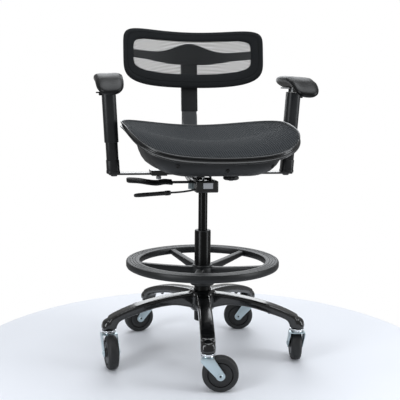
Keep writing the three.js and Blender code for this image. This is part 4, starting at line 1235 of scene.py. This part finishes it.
# %% Floor
deselect_all()
bpy.ops.mesh.primitive_circle_add(vertices=128, radius=0.76, fill_type="NGON", location=AXIS * MM)
floor = name_it("floor")
material, nodes, shader = new_material("pale floor")
where = nodes.add("ShaderNodeTexCoord").outputs["Object"]
mottle = nodes.add("ShaderNodeTexNoise", {"Vector": where, "Scale": 3.0}).outputs["Fac"]
pale = nodes.mix(mottle, (0.8, 0.82, 0.87, 1), (0.84, 0.86, 0.91, 1))
nodes.feed(shader, {"Roughness": 0.6, "Base Color": pale})
floor.data.materials.append(material)
floor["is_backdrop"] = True


# %% Lights and surround
def soft_light(name, spot, aim, size, power, shine=1.0):
    deselect_all()
    bpy.ops.object.light_add(type="AREA", location=spot)
    lamp = bpy.context.object
    lamp.name = name
    lamp.data.shape = "RECTANGLE"
    lamp.data.size, lamp.data.size_y = size
    lamp.data.energy = power
    lamp.data.specular_factor = shine
    lamp.data.color = (0.94, 0.97, 1)
    lamp.rotation_euler = (Vector(aim) - Vector(spot)).to_track_quat("-Z", "Y").to_euler()


WORLD_GLOW = 0.3
soft_light("left window", (-2.2, -1.6, 1.2), (0, 0, 0.5), (0.9, 2.2), 36)
soft_light("right window", (2.2, -1.2, 1.1), (0, 0, 0.5), (0.9, 2.2), 30)
soft_light("ceiling", (0.2, -0.2, 3.0), (0, 0, 0.4), (2.4, 2.4), 56, 0.4)
soft_light("back fill", (0.4, 2.4, 1.6), (0, 0, 0.6), (1.8, 1.8), 24)
world = bpy.data.worlds.new("white surround")
bpy.context.scene.world = world
world.use_nodes = True
sky = Nodes(world.node_tree)
seen = sky.add("ShaderNodeLightPath").outputs["Is Camera Ray"]
strength = sky.math("ADD", WORLD_GLOW, sky.math("MULTIPLY", seen, 1 - WORLD_GLOW))
sky.feed(world.node_tree.nodes["Background"], {"Color": (1, 1, 1, 1), "Strength": strength})
bpy.context.scene.view_settings.view_transform = "Standard"

# %% Camera
camera = bpy.data.objects.new("camera", bpy.data.cameras.new("camera"))
bpy.context.scene.collection.objects.link(camera)
camera.data.lens = 60.6
aim = at(-374.5, -2008.2, 743, (90 - 7.1, 0, -10.245))
camera.matrix_world = aim @ Matrix.Rotation(math.radians(0.45), 4, "Z")
bpy.context.scene.camera = camera

# %% Print the two boxes side by side and finish
visual_low, visual_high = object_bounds()
for title, size in (("CAD", cad_high - cad_low), ("visual", visual_high - visual_low)):
    print(title, "box", [round(v, 4) for v in size], "m")
